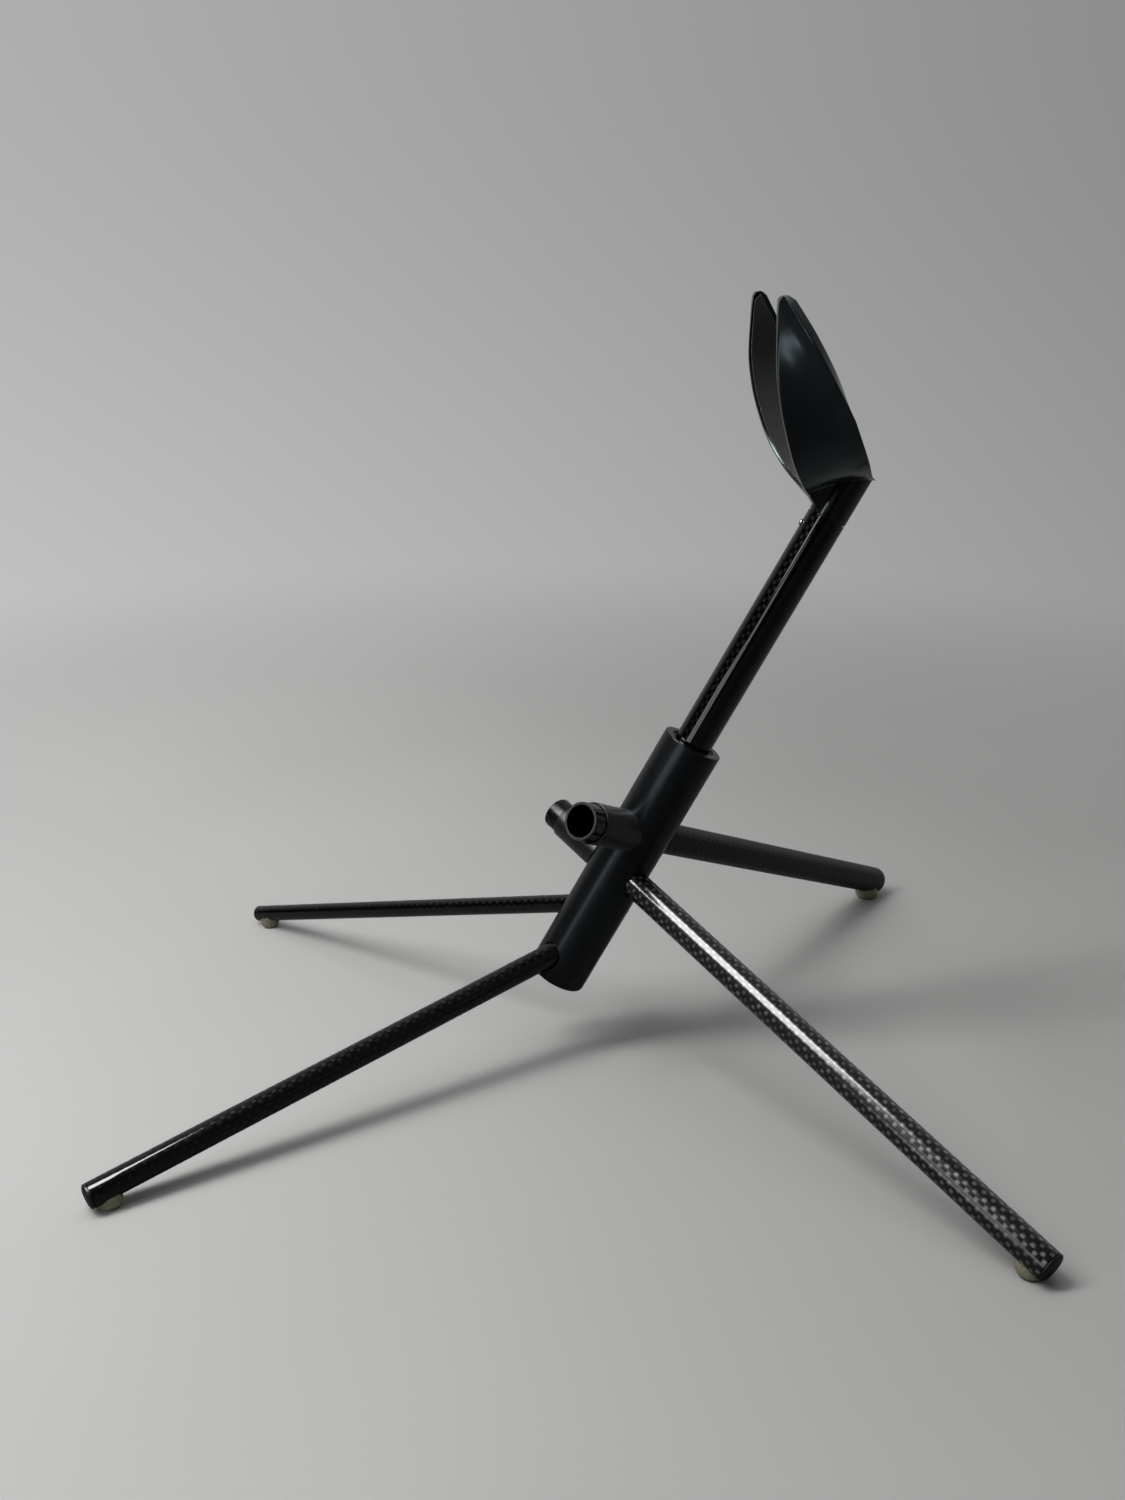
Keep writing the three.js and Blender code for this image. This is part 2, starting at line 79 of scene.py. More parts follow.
# Each leg: tube diameter, friction ring's centre and root's depth along the leg,
# the cross stub that carries the leg through the hub, foot pad's radius, look slot.
LEGS = {
    "front_left": dict(od=14.0, ring=6.3, root=12.0, through="upper", pad_r=6.0,
                       slot="satin_carbon"),
    "front_right": dict(od=12.0, ring=6.3, root=12.0, through="lower", pad_r=5.5,
                        slot="gloss_carbon"),
    "rear_right": dict(od=10.0, ring=8.8, root=8.0, through=None, pad_r=5.0,
                       slot="gloss_carbon"),
    "rear_left": dict(od=8.0, ring=8.8, root=8.0, through=None, pad_r=4.5,
                      slot="satin_carbon"),
}
REST_SIDE = {"upper": "right", "lower": "left"}  # the rest sleeve on each cross stub

BELL_TILT = math.radians(29.9)
BELL_ORIGIN = (-33.15, 0, 287.46)  # in the hub's frame
SADDLE_GAP = 1.1  # from the bell's wall to the inside of the saddle
SADDLE_SHIFT = 0.5  # the outside's axis from the bell's, along the bell frame's x
SCREW_DEPTH = 21.5
SINK_R = 4.4  # of the countersink
SCREW_HOLE_R = 2.3

# ---------------------------------------------------------------- frames


def basis(x, y, z, origin):
    rows = [(x[i], y[i], z[i], origin[i]) for i in range(3)]
    return Matrix((*rows, (0, 0, 0, 1)))


def axes(matrix):
    return [matrix.col[i].to_3d() for i in range(3)]


def axis_of(matrix):
    """The origin and z direction of a frame."""
    return matrix.to_translation(), axes(matrix)[2]


def span(node, origin, direction):
    """The extent of a CAD piece along a line, in millimetres from the line's origin."""
    points = np.array([v.co for v in frame["nodes"][node].data.vertices], float)
    along = (points - np.array(origin)) @ np.array(direction)
    return along.min() / MM, along.max() / MM


def leg_frame(name, ring):
    """z runs out along the leg and x lies above it."""
    joint = joints[name + "_twist"]
    direction = Vector(joint["axis"]).normalized()
    origin = Vector(joint["pos_m"]) - direction * (ring * MM)
    side = direction.cross(Vector((0, 0, 1))).normalized()
    top = side.cross(direction).normalized()
    return basis(top, direction.cross(top), direction, origin)


UP = Vector(joints["mast_turn"]["axis"]).normalized()
HUB_X = Vector((UP.z, 0, -UP.x))
mast_turn = Vector(joints["mast_turn"]["pos_m"])
hub_start, hub_end = span("hub_body", mast_turn, UP)
HUB_ORIGIN = mast_turn + UP * (hub_start * MM)
HUB_LENGTH = hub_end - hub_start
HUB = basis(HUB_X, Vector((0, 1, 0)), UP, HUB_ORIGIN)

LEG_FRAME = {name: leg_frame(name, leg["ring"]) for name, leg in LEGS.items()}

# x from the bell's axis towards the mast, z from the rim towards the throat
BELL = HUB @ basis(
    Vector((math.cos(BELL_TILT), 0, -math.sin(BELL_TILT))),
    Vector((0, -1, 0)),
    Vector((-math.sin(BELL_TILT), 0, -math.cos(BELL_TILT))),
    Vector(BELL_ORIGIN) * MM,
)

# z runs out of the mast along the pin, away from the hub's x
PIN = basis(UP, UP.cross(HUB_X), HUB_X * -1.0, HUB_ORIGIN + UP * (PIN_Z * MM))

# ---------------------------------------------------------------- profiles, (radius, z)


def bezier(start, corner, end, t):
    return start * (1 - t) ** 2 + corner * 2 * t * (1 - t) + end * t * t


def rounded(corners, steps):
    """Rounds a polygon of (x, z, corner cut); a cut of 0 stays sharp."""
    points = []
    for i, (x, z, cut) in enumerate(corners):
        if cut <= 0:
            points.append((x, z))
            continue
        corner = Vector((x, z))
        before = Vector(corners[i - 1][:2]) - corner
        after = Vector(corners[(i + 1) % len(corners)][:2]) - corner
        cut = min(cut, before.length * 0.49, after.length * 0.49)
        start = corner + before.normalized() * cut
        end = corner + after.normalized() * cut
        points += [tuple(bezier(start, corner, end, j / steps)) for j in range(steps + 1)]
    return points


def subdivided(profile, step, closed):
    points = []
    for i in range(len(profile) if closed else len(profile) - 1):
        start, end = Vector(profile[i]), Vector(profile[(i + 1) % len(profile)])
        pieces = max(1, int((end - start).length / step))
        points += [tuple(start.lerp(end, j / pieces)) for j in range(pieces)]
    if not closed:
        points.append(profile[-1])
    return points


def tube_profile(inner, outer, start, end, edge, step=12.0):
    cut = min(edge, (outer - inner) * 0.45)
    corners = [(inner, start, cut), (outer, start, cut), (outer, end, cut), (inner, end, cut)]
    return subdivided(rounded(corners, steps=3), step, closed=True)


def pchip(table):
    """Monotone cubic through a table of (x, y), straight beyond its ends."""
    xs = np.array([p[0] for p in table], float)
    ys = np.array([p[1] for p in table], float)
    gaps = np.diff(xs)
    slopes = np.diff(ys) / gaps
    tangents = np.zeros(len(xs))
    tangents[0], tangents[-1] = slopes[0], slopes[-1]
    for i in range(1, len(xs) - 1):
        if slopes[i - 1] * slopes[i] > 0:
            before, after = 2 * gaps[i] + gaps[i - 1], gaps[i] + 2 * gaps[i - 1]
            tangents[i] = (before + after) / (before / slopes[i - 1] + after / slopes[i])

    def value(x):
        if x <= xs[0]:
            return ys[0] + tangents[0] * (x - xs[0])
        if x >= xs[-1]:
            return ys[-1] + tangents[-1] * (x - xs[-1])
        i = int(np.searchsorted(xs, x)) - 1
        i = max(0, min(i, len(xs) - 2))
        t = (x - xs[i]) / gaps[i]
        return (
            (2 * t**3 - 3 * t**2 + 1) * ys[i]
            + (t**3 - 2 * t**2 + t) * gaps[i] * tangents[i]
            + (-2 * t**3 + 3 * t**2) * ys[i + 1]
            + (t**3 - t**2) * gaps[i] * tangents[i + 1]
        )

    return value


# ---------------------------------------------------------------- meshes


def link(name, data):
    ob = bpy.data.objects.new(name, data)
    bpy.context.scene.collection.objects.link(ob)
    return ob


def placed(mesh, matrix):
    """Moves a mesh into place and turns its faces outwards."""
    mesh.transform(matrix)
    bm = bmesh.new()
    bm.from_mesh(mesh)
    bmesh.ops.recalc_face_normals(bm, faces=bm.faces)
    bm.to_mesh(mesh)
    bm.free()
    return mesh


def lathe(profile, segments, closed=False):
    """Turns (r, z) millimetres about z. UVs: u in turns, v the height z in millimetres."""
    bm = bmesh.new()
    uv_layer = bm.loops.layers.uv.new("wrap")
    rows = []
    for r, z in profile:
        if r < 1e-6:
            rows.append([bm.verts.new((0, 0, z * MM))])
            continue
        angles = [2 * math.pi * k / segments for k in range(segments)]
        rows.append([
            bm.verts.new((r * math.cos(a) * MM, r * math.sin(a) * MM, z * MM)) for a in angles
        ])

    def corners(i, k, order):
        """The vertices and UVs of row i at segment k; a row on the axis gives just one."""
        z = profile[i][1]
        if len(rows[i]) == 1:
            return [(rows[i][0], ((k + 0.5) / segments, z))]
        return [(rows[i][(k + side) % segments], ((k + side) / segments, z)) for side in order]

    for i in range(len(profile) if closed else len(profile) - 1):
        for k in range(segments):
            loop = corners(i, k, (0, 1)) + corners((i + 1) % len(profile), k, (1, 0))
            if len(loop) < 3:
                continue
            face = bm.faces.new([vert for vert, _ in loop])
            for face_loop, (_, uv) in zip(face.loops, loop):
                face_loop[uv_layer].uv = uv
    mesh = bpy.data.meshes.new("lathe")
    bm.to_mesh(mesh)
    bm.free()
    return mesh


def rod(radius, start, end, segments):
    return lathe([(0, start), (radius, start), (radius, end), (0, end)], segments)


def block(matrix):
    """A unit cube carried through a matrix."""
    mesh = bpy.data.meshes.new("block")
    bm = bmesh.new()
    bmesh.ops.create_cube(bm, size=1.0)
    bm.to_mesh(mesh)
    bm.free()
    return placed(mesh, matrix)


def skin(rows, closed=False):
    """Joins closed rows of points into a body, either ring-shaped or with flat end caps."""
    count = len(rows[0])
    faces = []
    for i in range(len(rows) if closed else len(rows) - 1):
        here, there = i * count, (i + 1) % len(rows) * count
        for j in range(count):
            j2 = (j + 1) % count
            faces.append((here + j, here + j2, there + j2, there + j))
    if not closed:
        faces.append(tuple(range(count)))
        faces.append(tuple((len(rows) - 1) * count + j for j in reversed(range(count))))
    mesh = bpy.data.meshes.new("skin")
    mesh.from_pydata([tuple(point) for row in rows for point in row], [], faces)
    return mesh


def boolean(mesh, cutters, unions=()):
    """Adds the unions to a mesh, then takes the cutters away, and returns the new mesh."""
    base = link("tmp_base", mesh)
    tools = []
    chain = [(tool, "UNION") for tool in unions] + [(tool, "DIFFERENCE") for tool in cutters]
    for i, (tool_mesh, operation) in enumerate(chain):
        tool = link("tmp_cut_%d" % i, tool_mesh)
        tools.append(tool)
        modifier = base.modifiers.new("b%d" % i, "BOOLEAN")
        modifier.operation = operation
        modifier.object = tool
        modifier.solver = "MANIFOLD"

    def evaluated():
        bpy.context.view_layer.update()
        depsgraph = bpy.context.evaluated_depsgraph_get()
        return bpy.data.meshes.new_from_object(base.evaluated_get(depsgraph))

    result = evaluated()
    # guards against the manifold solver giving up on a mesh and leaving it empty
    if len(result.vertices) < 8:
        for modifier in base.modifiers:
            modifier.solver = "EXACT"
        result = evaluated()
    for ob in tools + [base]:
        bpy.data.objects.remove(ob)
    return result


def keep_largest(mesh):
    """Drops the loose scraps a cut leaves and keeps the part with most vertices."""
    bm = bmesh.new()
    bm.from_mesh(mesh)
    seen, parts = set(), []
    for vert in bm.verts:
        if vert in seen:
            continue
        stack, part = [vert], []
        seen.add(vert)
        while stack:
            current = stack.pop()
            part.append(current)
            for edge in current.link_edges:
                other = edge.other_vert(current)
                if other not in seen:
                    seen.add(other)
                    stack.append(other)
        parts.append(part)
    parts.sort(key=len, reverse=True)
    for part in parts[1:]:
        bmesh.ops.delete(bm, geom=part, context="VERTS")
    bm.to_mesh(mesh)
    bm.free()
    return mesh


def smooth_mesh(mesh, matrix, smooth):
    """Places and cleans a mesh; edges sharper than `smooth` degrees stay sharp."""
    mesh.transform(matrix)
    bm = bmesh.new()
    bm.from_mesh(mesh)
    bmesh.ops.remove_doubles(bm, verts=bm.verts, dist=2e-7)
    bmesh.ops.recalc_face_normals(bm, faces=bm.faces)
    limit = math.radians(smooth)
    for face in bm.faces:
        face.smooth = True
    for edge in bm.edges:
        if len(edge.link_faces) == 2 and edge.calc_face_angle(0.0) > limit:
            edge.smooth = False
    bm.to_mesh(mesh)
    bm.free()


def make(name, mesh, body, cad_piece, material, smooth, matrix=Matrix.Identity(4)):
    """Turns a mesh into a finished object that rides on a body and replaces a CAD piece."""
    smooth_mesh(mesh, matrix, smooth)
    mesh.name = name
    ob = link(name, mesh)
    mesh.materials.clear()
    mesh.materials.append(material)
    for polygon in mesh.polygons:
        polygon.material_index = 0
    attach(ob, body)
    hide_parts(cad_piece)
    return ob


def radial_normals(ob, radius):
    """True cylinder normals on the faces at a radius from the hub's axis,
    so a bore's edge doesn't bend the highlight."""
    mesh = ob.data
    origin = HUB.to_translation()
    axis = axes(HUB)[2].normalized()
    normals = [Vector(corner.vector) for corner in mesh.corner_normals]

    def from_axis(point):
        offset = point - origin
        return offset - axis * offset.dot(axis)

    radial = [from_axis(v.co) for v in mesh.vertices]
    for poly in mesh.polygons:
        on_wall = all(abs(radial[v].length - radius * MM) < 4e-5 for v in poly.vertices)
        if on_wall and poly.normal.dot(from_axis(poly.center).normalized()) > 0.98:
            for i in poly.loop_indices:
                normals[i] = radial[mesh.loops[i].vertex_index].normalized()
    mesh.normals_split_custom_set([tuple(normal) for normal in normals])


# ---------------------------------------------------------------- shader graphs


def operator(operation, swapped=False):
    def apply(self, other):
        pair = (other, self) if swapped else (self, other)
        return self.graph.math(operation, *pair)

    return apply


class Value:
    """A node's output. Arithmetic on it adds one math node for each operator."""

    __add__ = operator("ADD")
    __radd__ = operator("ADD", swapped=True)
    __sub__ = operator("SUBTRACT")
    __rsub__ = operator("SUBTRACT", swapped=True)
    __mul__ = operator("MULTIPLY")
    __rmul__ = operator("MULTIPLY", swapped=True)
    __truediv__ = operator("DIVIDE")
    __pow__ = operator("POWER")
    __mod__ = operator("FLOORED_MODULO")
    __lt__ = operator("LESS_THAN")

    def __init__(self, graph, socket):
        self.graph = graph
        self.socket = socket

    def __abs__(self):
        return self.graph.math("ABSOLUTE", self)


class Graph:
    """Short-hand for building a node tree."""

    def __init__(self, tree, output):
        self.tree = tree
        tree.nodes.clear()
        self.output = tree.nodes.new(output)

    def put(self, socket, value):
        if isinstance(value, Value):
            self.tree.links.new(value.socket, socket)
            return
        if socket.type == "RGBA" and len(value) == 3:
            value = (*value, 1.0)
        socket.default_value = value

    def add(self, kind, inputs, output=0, **settings):
        node = self.tree.nodes.new(kind)
        for key, setting in settings.items():
            setattr(node, key, setting)
        for key, value in inputs.items():
            self.put(node.inputs[key], value)
        return Value(self, node.outputs[output])

    def finish(self, shader):
        self.put(self.output.inputs[0], shader)

    def math(self, operation, *values, clamp=False):
        inputs = dict(enumerate(values))
        return self.add("ShaderNodeMath", inputs, operation=operation, use_clamp=clamp)

    def clamped_sum(self, first, second):
        return self.math("ADD", first, second, clamp=True)

    def mix(self, factor, first, second):
        inputs = {0: factor, 2: first, 3: second}
        return self.add("ShaderNodeMix", inputs, data_type="FLOAT")

    def mix_color(self, factor, first, second):
        inputs = {0: factor, 6: first, 7: second}
        return self.add("ShaderNodeMix", inputs, output=2, data_type="RGBA")

    def mix_shader(self, factor, first, second):
        return self.add("ShaderNodeMixShader", {0: factor, 1: first, 2: second})

    def coords(self, kind="Object"):
        return self.add("ShaderNodeTexCoord", {}, output=kind)

    def geometry(self, kind):
        return self.add("ShaderNodeNewGeometry", {}, output=kind)

    def split(self, vector):
        first = self.add("ShaderNodeSeparateXYZ", {0: vector})
        return [Value(self, socket) for socket in first.socket.node.outputs]

    def join(self, x, y, z=0.0):
        return self.add("ShaderNodeCombineXYZ", {0: x, 1: y, 2: z})

    def scale(self, vector, factors):
        return self.add("ShaderNodeVectorMath", {0: vector, 1: factors}, operation="MULTIPLY")

    def dot(self, first, second):
        inputs = {0: first, 1: second}
        return self.add("ShaderNodeVectorMath", inputs, output="Value", operation="DOT_PRODUCT")

    def noise(self, vector, scale, detail=3.0, roughness=0.5, distortion=0.0):
        inputs = {"Vector": vector, "Scale": scale, "Detail": detail,
                  "Roughness": roughness, "Distortion": distortion}
        return self.add("ShaderNodeTexNoise", inputs)

    def ramp(self, value, low, high, start=0.0, end=1.0):
        """Eases from start to end as the value goes from low to high."""
        inputs = {0: value, 1: low, 2: high, 3: start, 4: end}
        return self.add("ShaderNodeMapRange", inputs, interpolation_type="SMOOTHSTEP")

    def bump(self, height, strength, distance):
        inputs = {"Strength": strength, "Distance": distance, "Height": height}
        return self.add("ShaderNodeBump", inputs)

    def tinted(self, value, tint):
        """A grey times a tint; None passes the grey straight through."""
        channels = [value if factor is None else value * factor for factor in tint]
        return self.add("ShaderNodeCombineColor", dict(enumerate(channels)))

    def principled(self, **inputs):
        named = {key.replace("_", " "): value for key, value in inputs.items()}
        return self.add("ShaderNodeBsdfPrincipled", named)


def new_material(name):
    material = bpy.data.materials.new(name)
    material.use_nodes = True
    return material, Graph(material.node_tree, "ShaderNodeOutputMaterial")


def scratches(graph, vector, scale, amount):
    """Fine random hairlines: thin bands of stretched noise in three directions."""
    total = None
    # (angle in degrees, density)
    for i, (angle, density) in enumerate(((12, 240.0), (-38, 300.0), (71, 210.0))):
        rotation = (math.radians(angle * 1.3), math.radians(angle), math.radians(angle * 0.7))
        turned = graph.add("ShaderNodeVectorRotate", {"Vector": vector, "Rotation": rotation},
                           rotation_type="EULER_XYZ")
        # long in y and z, short in x
        stretch = (density * scale, density * 0.05 * scale, density * 0.08 * scale)
        bands = graph.noise(graph.scale(turned, stretch), scale=1.0, detail=1.0, roughness=0.4)
        line = graph.ramp(abs(bands - 0.5), low=0.0, high=0.006, start=1.0, end=0.0)
        clouds = graph.noise(vector, scale=55.0 * scale + 17 * i, detail=2.0)
        layer = line * graph.ramp(clouds, low=0.56, high=0.66)
        total = layer if total is None else graph.math("MAXIMUM", total, layer)
    return graph.math("MULTIPLY", total, amount, clamp=True)


def edge_wear(graph, vector, radius, edge, patch_scale, patch):
    """Patchy rubbing on edges, found where the rounded normal leaves the true one.
    `edge` and `patch` are the (low, high) thresholds of the two masks."""
    bevel = graph.add("ShaderNodeBevel", {"Radius": radius}, samples=4)
    bend = 1.0 - graph.dot(bevel, graph.geometry("Normal"))
    on_edge = graph.ramp(bend, low=edge[0], high=edge[1])
    clouds = graph.noise(vector, scale=patch_scale, detail=4.0, roughness=0.7)
    return on_edge * graph.ramp(clouds, low=patch[0], high=patch[1])


# ---------------------------------------------------------------- materials


def carbon(name, *, tows, cell, coat_rough, base, contrast, bump, spec, coat=1.0,
           fibre_rough=0.34, scratch=0.5, dust=0.35, aniso=0.75, cut_axis=None):
    """Plain-woven carbon under clear coat; the two directions of tow catch the light
    differently. `tows` go round the tube and `cell` is their pitch along it in millimetres.
    Faces square to `cut_axis` show sawn fibre."""
    material, graph = new_material(name)
    turn, height, _ = graph.split(graph.add("ShaderNodeUVMap", {}, uv_map="wrap"))
    around = turn * float(tows)
    straight = height / cell
    # slight waviness of the tows
    wave = graph.noise(graph.join(around * 0.22, straight * 0.22), scale=1.0, detail=2.0)
    along = straight + (wave - 0.5) * 0.35

    # the weave: a chequerboard in which warp is 1 where the tow along the tube is on top
    around_part, along_part = graph.math("FRACT", around), graph.math("FRACT", along)
    around_cell, along_cell = graph.math("FLOOR", around), graph.math("FLOOR", along)
    warp = (around_cell + along_cell) % 2.0 < 0.5
    # a tow's round section across it, and its rise and fall along it
    warp_round = 1.0 - abs(around_part * 2.0 - 1.0) ** 2.6
    weft_round = 1.0 - abs(along_part * 2.0 - 1.0) ** 2.6
    warp_bow = graph.math("SINE", along_part * math.pi)
    weft_bow = graph.math("SINE", around_part * math.pi)
    relief = graph.mix(
        warp,
        weft_round * (0.45 + weft_bow * 0.55),
        warp_round * (0.45 + warp_bow * 0.55),
    )

    # filaments within a tow, and tow-to-tow variation
    fine, coarse = 26.0, 1.3  # noise across and along the filaments
    warp_grain = graph.noise(graph.join(around * fine, along * coarse), scale=1.0, detail=2.0)
    weft_grain = graph.noise(graph.join(around * coarse, along * fine, 3.0),
                             scale=1.0, detail=2.0)
    streak = graph.mix(warp, weft_grain, warp_grain)
    tow_id = graph.join(around_cell + 0.5, along_cell + 0.5, warp)
    tow_tone = graph.add("ShaderNodeTexWhiteNoise", {"Vector": tow_id}, output="Value",
                         noise_dimensions="3D")
    tone = streak * 0.7 + tow_tone * 0.5
    # tow-to-tow tone, with painted shade: the colour darkens between the tows, where the relief is low
    grey = base * (0.25 + tone * (0.3 + relief) * (1.9 * contrast))
    # painted sheen: the tows that run along the tube are lightened in the colour as pale rounded spots, brightest
    # at their crowns, for the light they catch; the same spots also raise the specular level
    warp_sheen_spot = warp * (warp_round * warp_bow * (0.6 + tone * 0.6))
    grey = grey * (max(0.1, 1.0 - 0.4 * contrast) + warp_sheen_spot * (2.2 * contrast))

    # dust, specks and scratches
    vector = graph.coords()
    haze = graph.ramp(graph.noise(vector, scale=70.0, detail=5.0, roughness=0.65),
                      low=0.50, high=0.78)
    dots = graph.add("ShaderNodeTexVoronoi",
                     {"Vector": graph.scale(vector, (620.0, 620.0, 620.0)), "Scale": 1.0},
                     feature="F1")
    specks = graph.ramp(dots, low=0.035, high=0.07, start=1.0, end=0.0)
    specks = specks * graph.ramp(graph.noise(vector, scale=160.0, detail=2.0),
                                 low=0.58, high=0.68)
    hairlines = scratches(graph, vector, scale=1.0, amount=scratch)
    grey = grey + (haze * 0.004 + specks * 0.03) * dust
    color = graph.tinted(grey, (0.97, None, 1.03))

    tangent = graph.add("ShaderNodeTangent", {}, direction_type="UV_MAP", uv_map="wrap")
    roughness = graph.clamped_sum(fibre_rough, (streak - 0.5) * 0.25)
    coat_roughness = graph.clamped_sum(coat_rough + haze * (0.08 * dust), hairlines * 0.35)
    ripple = graph.noise(vector, scale=34.0, detail=2.0)
    coat_normal = graph.bump(ripple * 1.0 + hairlines * -0.05, strength=0.06, distance=0.002)
    normal = graph.bump(relief, strength=bump, distance=0.00022)

    if cut_axis is not None:
        # sawn ends: pale grey matt rings of cut fibre, without coat
        facing = graph.dot(graph.geometry("Normal"), tuple(cut_axis))
        cut = graph.ramp(abs(facing), low=0.45, high=0.75)
        fibre = graph.mix_color(graph.noise(vector, scale=2200.0, detail=3.0),
                                (0.035, 0.036, 0.04), (0.065, 0.067, 0.072))
        color = graph.mix_color(cut, color, fibre)
        coat = coat * (1.0 - cut)
    graph.finish(graph.principled(
        Base_Color=color, Roughness=roughness, Normal=normal,
        Anisotropic=aniso, Anisotropic_Rotation=warp * 0.25, Tangent=tangent,
        Specular_IOR_Level=spec * (0.25 + warp_sheen_spot * 1.1),
        Coat_Weight=coat, Coat_Roughness=coat_roughness, Coat_IOR=1.5, Coat_Normal=coat_normal,
    ))
    return material


def satin_bar():
    """Black anodised bar: fine turned grain round the axis, soft bloom, edges rubbed lighter."""
    material, graph = new_material("satin_black_bar")
    vector = graph.coords()
    from_hub = graph.add("ShaderNodeVectorMath", {0: vector, 1: tuple(HUB_ORIGIN)},
                         operation="SUBTRACT")
    height = graph.dot(from_hub, tuple(UP))
    turning = graph.noise(graph.join(height * 9000.0, 0.0), scale=1.0, detail=2.0)
    mottle = graph.noise(vector, scale=45.0, detail=4.0, roughness=0.6)
    grain = graph.noise(vector, scale=2600.0, detail=2.0, roughness=0.6)
    hairlines = scratches(graph, vector, scale=0.8, amount=0.6)
    wear = edge_wear(graph, vector, radius=0.0006, edge=(0.03, 0.30),
                     patch_scale=420.0, patch=(0.42, 0.66))
    grey = 0.0026 + mottle * 0.0018 + wear * 0.05 + hairlines * 0.006
    graph.finish(graph.principled(
        Base_Color=graph.tinted(grey, (0.95, None, 1.08)),
        Roughness=graph.clamped_sum(0.23 + mottle * 0.09, hairlines * 0.12),
        Specular_IOR_Level=0.36, Specular_Tint=(0.80, 0.90, 1.0),
        Normal=graph.bump(turning * 0.5 + grain * 0.5, strength=0.10, distance=0.00003),
    ))
    return material


def moulded(name, *, tint, base, rough, sheen):
    """Black moulding: orange-peel waviness, cloudy polish, fine scuffs, worn edges."""
    material, graph = new_material(name)
    vector = graph.coords()
    cloud = graph.noise(vector, scale=38.0, detail=4.0, roughness=0.6)
    peel = graph.noise(vector, scale=420.0, detail=2.0)
    fine = graph.noise(vector, scale=2400.0, detail=2.0)
    scuffs = scratches(graph, vector, scale=0.7, amount=0.8)
    wear = edge_wear(graph, vector, radius=0.0007, edge=(0.04, 0.35),
                     patch_scale=300.0, patch=(0.40, 0.70))
    grey = base + cloud * 0.0012 + wear * 0.03 + scuffs * 0.006
    bloom = graph.ramp(cloud, low=0.35, high=0.75)
    graph.finish(graph.principled(
        Base_Color=graph.tinted(grey, tint),
        Roughness=graph.clamped_sum(rough + bloom * 0.09, scuffs * 0.2),
        Specular_IOR_Level=0.55, Specular_Tint=sheen,
        Normal=graph.bump(peel * 1.0 + fine * 0.08, strength=0.05, distance=0.00008),
    ))
    return material


def rubber(name, *, base, rough):
    """Black rubber: fine pitted skin with paler blotches."""
    material, graph = new_material(name)
    vector = graph.coords()
    pits = graph.noise(vector, scale=1500.0, detail=3.0, roughness=0.6)
    blotch = graph.noise(vector, scale=90.0, detail=4.0, roughness=0.6)
    hairlines = scratches(graph, vector, scale=1.2, amount=0.5)
    bloom = graph.ramp(blotch, low=0.45, high=0.8)
    grey = base + bloom * 0.008 + hairlines * 0.02
    graph.finish(graph.principled(
        Base_Color=graph.tinted(grey, (1.0, 1.0, 1.03)),
        Roughness=graph.clamped_sum(rough, blotch * 0.16),
        Specular_IOR_Level=0.40, Specular_Tint=(0.84, 0.93, 1.0),
        Normal=graph.bump(pits + blotch * 0.6, strength=0.22, distance=0.00006),
        Sheen_Weight=0.08, Sheen_Roughness=0.5,
    ))
    return material


def felt():
    """Black felt: matted fibre, rubbed paler in patches."""
    material, graph = new_material("felt_lining")
    vector = graph.coords()
    mat = graph.noise(vector, scale=1100.0, detail=4.0, roughness=0.7, distortion=1.2)
    fuzz = graph.noise(vector, scale=3400.0, detail=2.0, roughness=0.6)
    rubbing = graph.noise(vector, scale=60.0, detail=3.0, roughness=0.6)
    grey = 0.006 + mat * fuzz * 0.034 + graph.ramp(rubbing, low=0.5, high=0.8) * 0.008
    graph.finish(graph.principled(
        Base_Color=graph.tinted(grey, (1.0, 1.0, 1.04)), Roughness=0.95,
        Specular_IOR_Level=0.15, Sheen_Weight=0.6, Sheen_Roughness=0.45,
        Normal=graph.bump(mat + fuzz * 0.5, strength=0.8, distance=0.00025),
    ))
    return material


def clear_rubber():
    """Slightly yellowed translucent rubber, its skin a little dusty, its colours darkened as painted shade."""
    material, graph = new_material("clear_rubber")
    vector = graph.coords()
    blotch = graph.noise(vector, scale=140.0)
    dust = graph.noise(vector, scale=500.0, detail=3.0, roughness=0.6)
    # painted shade: both rubber tones are set darker, for the shadow the pad sits in
    color = graph.mix_color(graph.ramp(blotch, low=0.3, high=0.8),
                            (0.255, 0.25, 0.178), (0.20, 0.195, 0.135))
    color = graph.mix_color(graph.ramp(dust, low=0.62, high=0.85, end=0.15),
                            color, (0.23, 0.222, 0.18))
    graph.finish(graph.principled(
        Base_Color=color, Roughness=0.20 + dust * 0.15, IOR=1.46, Specular_IOR_Level=0.5,
        Transmission_Weight=0.08, Subsurface_Weight=0.9, Subsurface_Radius=(1.0, 0.9, 0.6),
        Subsurface_Scale=0.002, Normal=graph.bump(blotch, strength=0.05, distance=0.0001),
    ))
    return material


def steel():
    """Bare steel with a grain that is finest across y."""
    material, graph = new_material("steel")
    vector = graph.coords()
    grain = graph.noise(graph.scale(vector, (300.0, 4200.0, 300.0)), scale=1.0)
    stain = graph.noise(vector, scale=700.0)
    color = graph.mix_color(graph.ramp(stain, low=0.35, high=0.75),
                            (0.62, 0.62, 0.63), (0.42, 0.42, 0.43))
    graph.finish(graph.principled(
        Base_Color=color, Metallic=1.0, Roughness=0.18 + grain * 0.2,
        Normal=graph.bump(grain, strength=0.15, distance=0.00003),
    ))
    return material


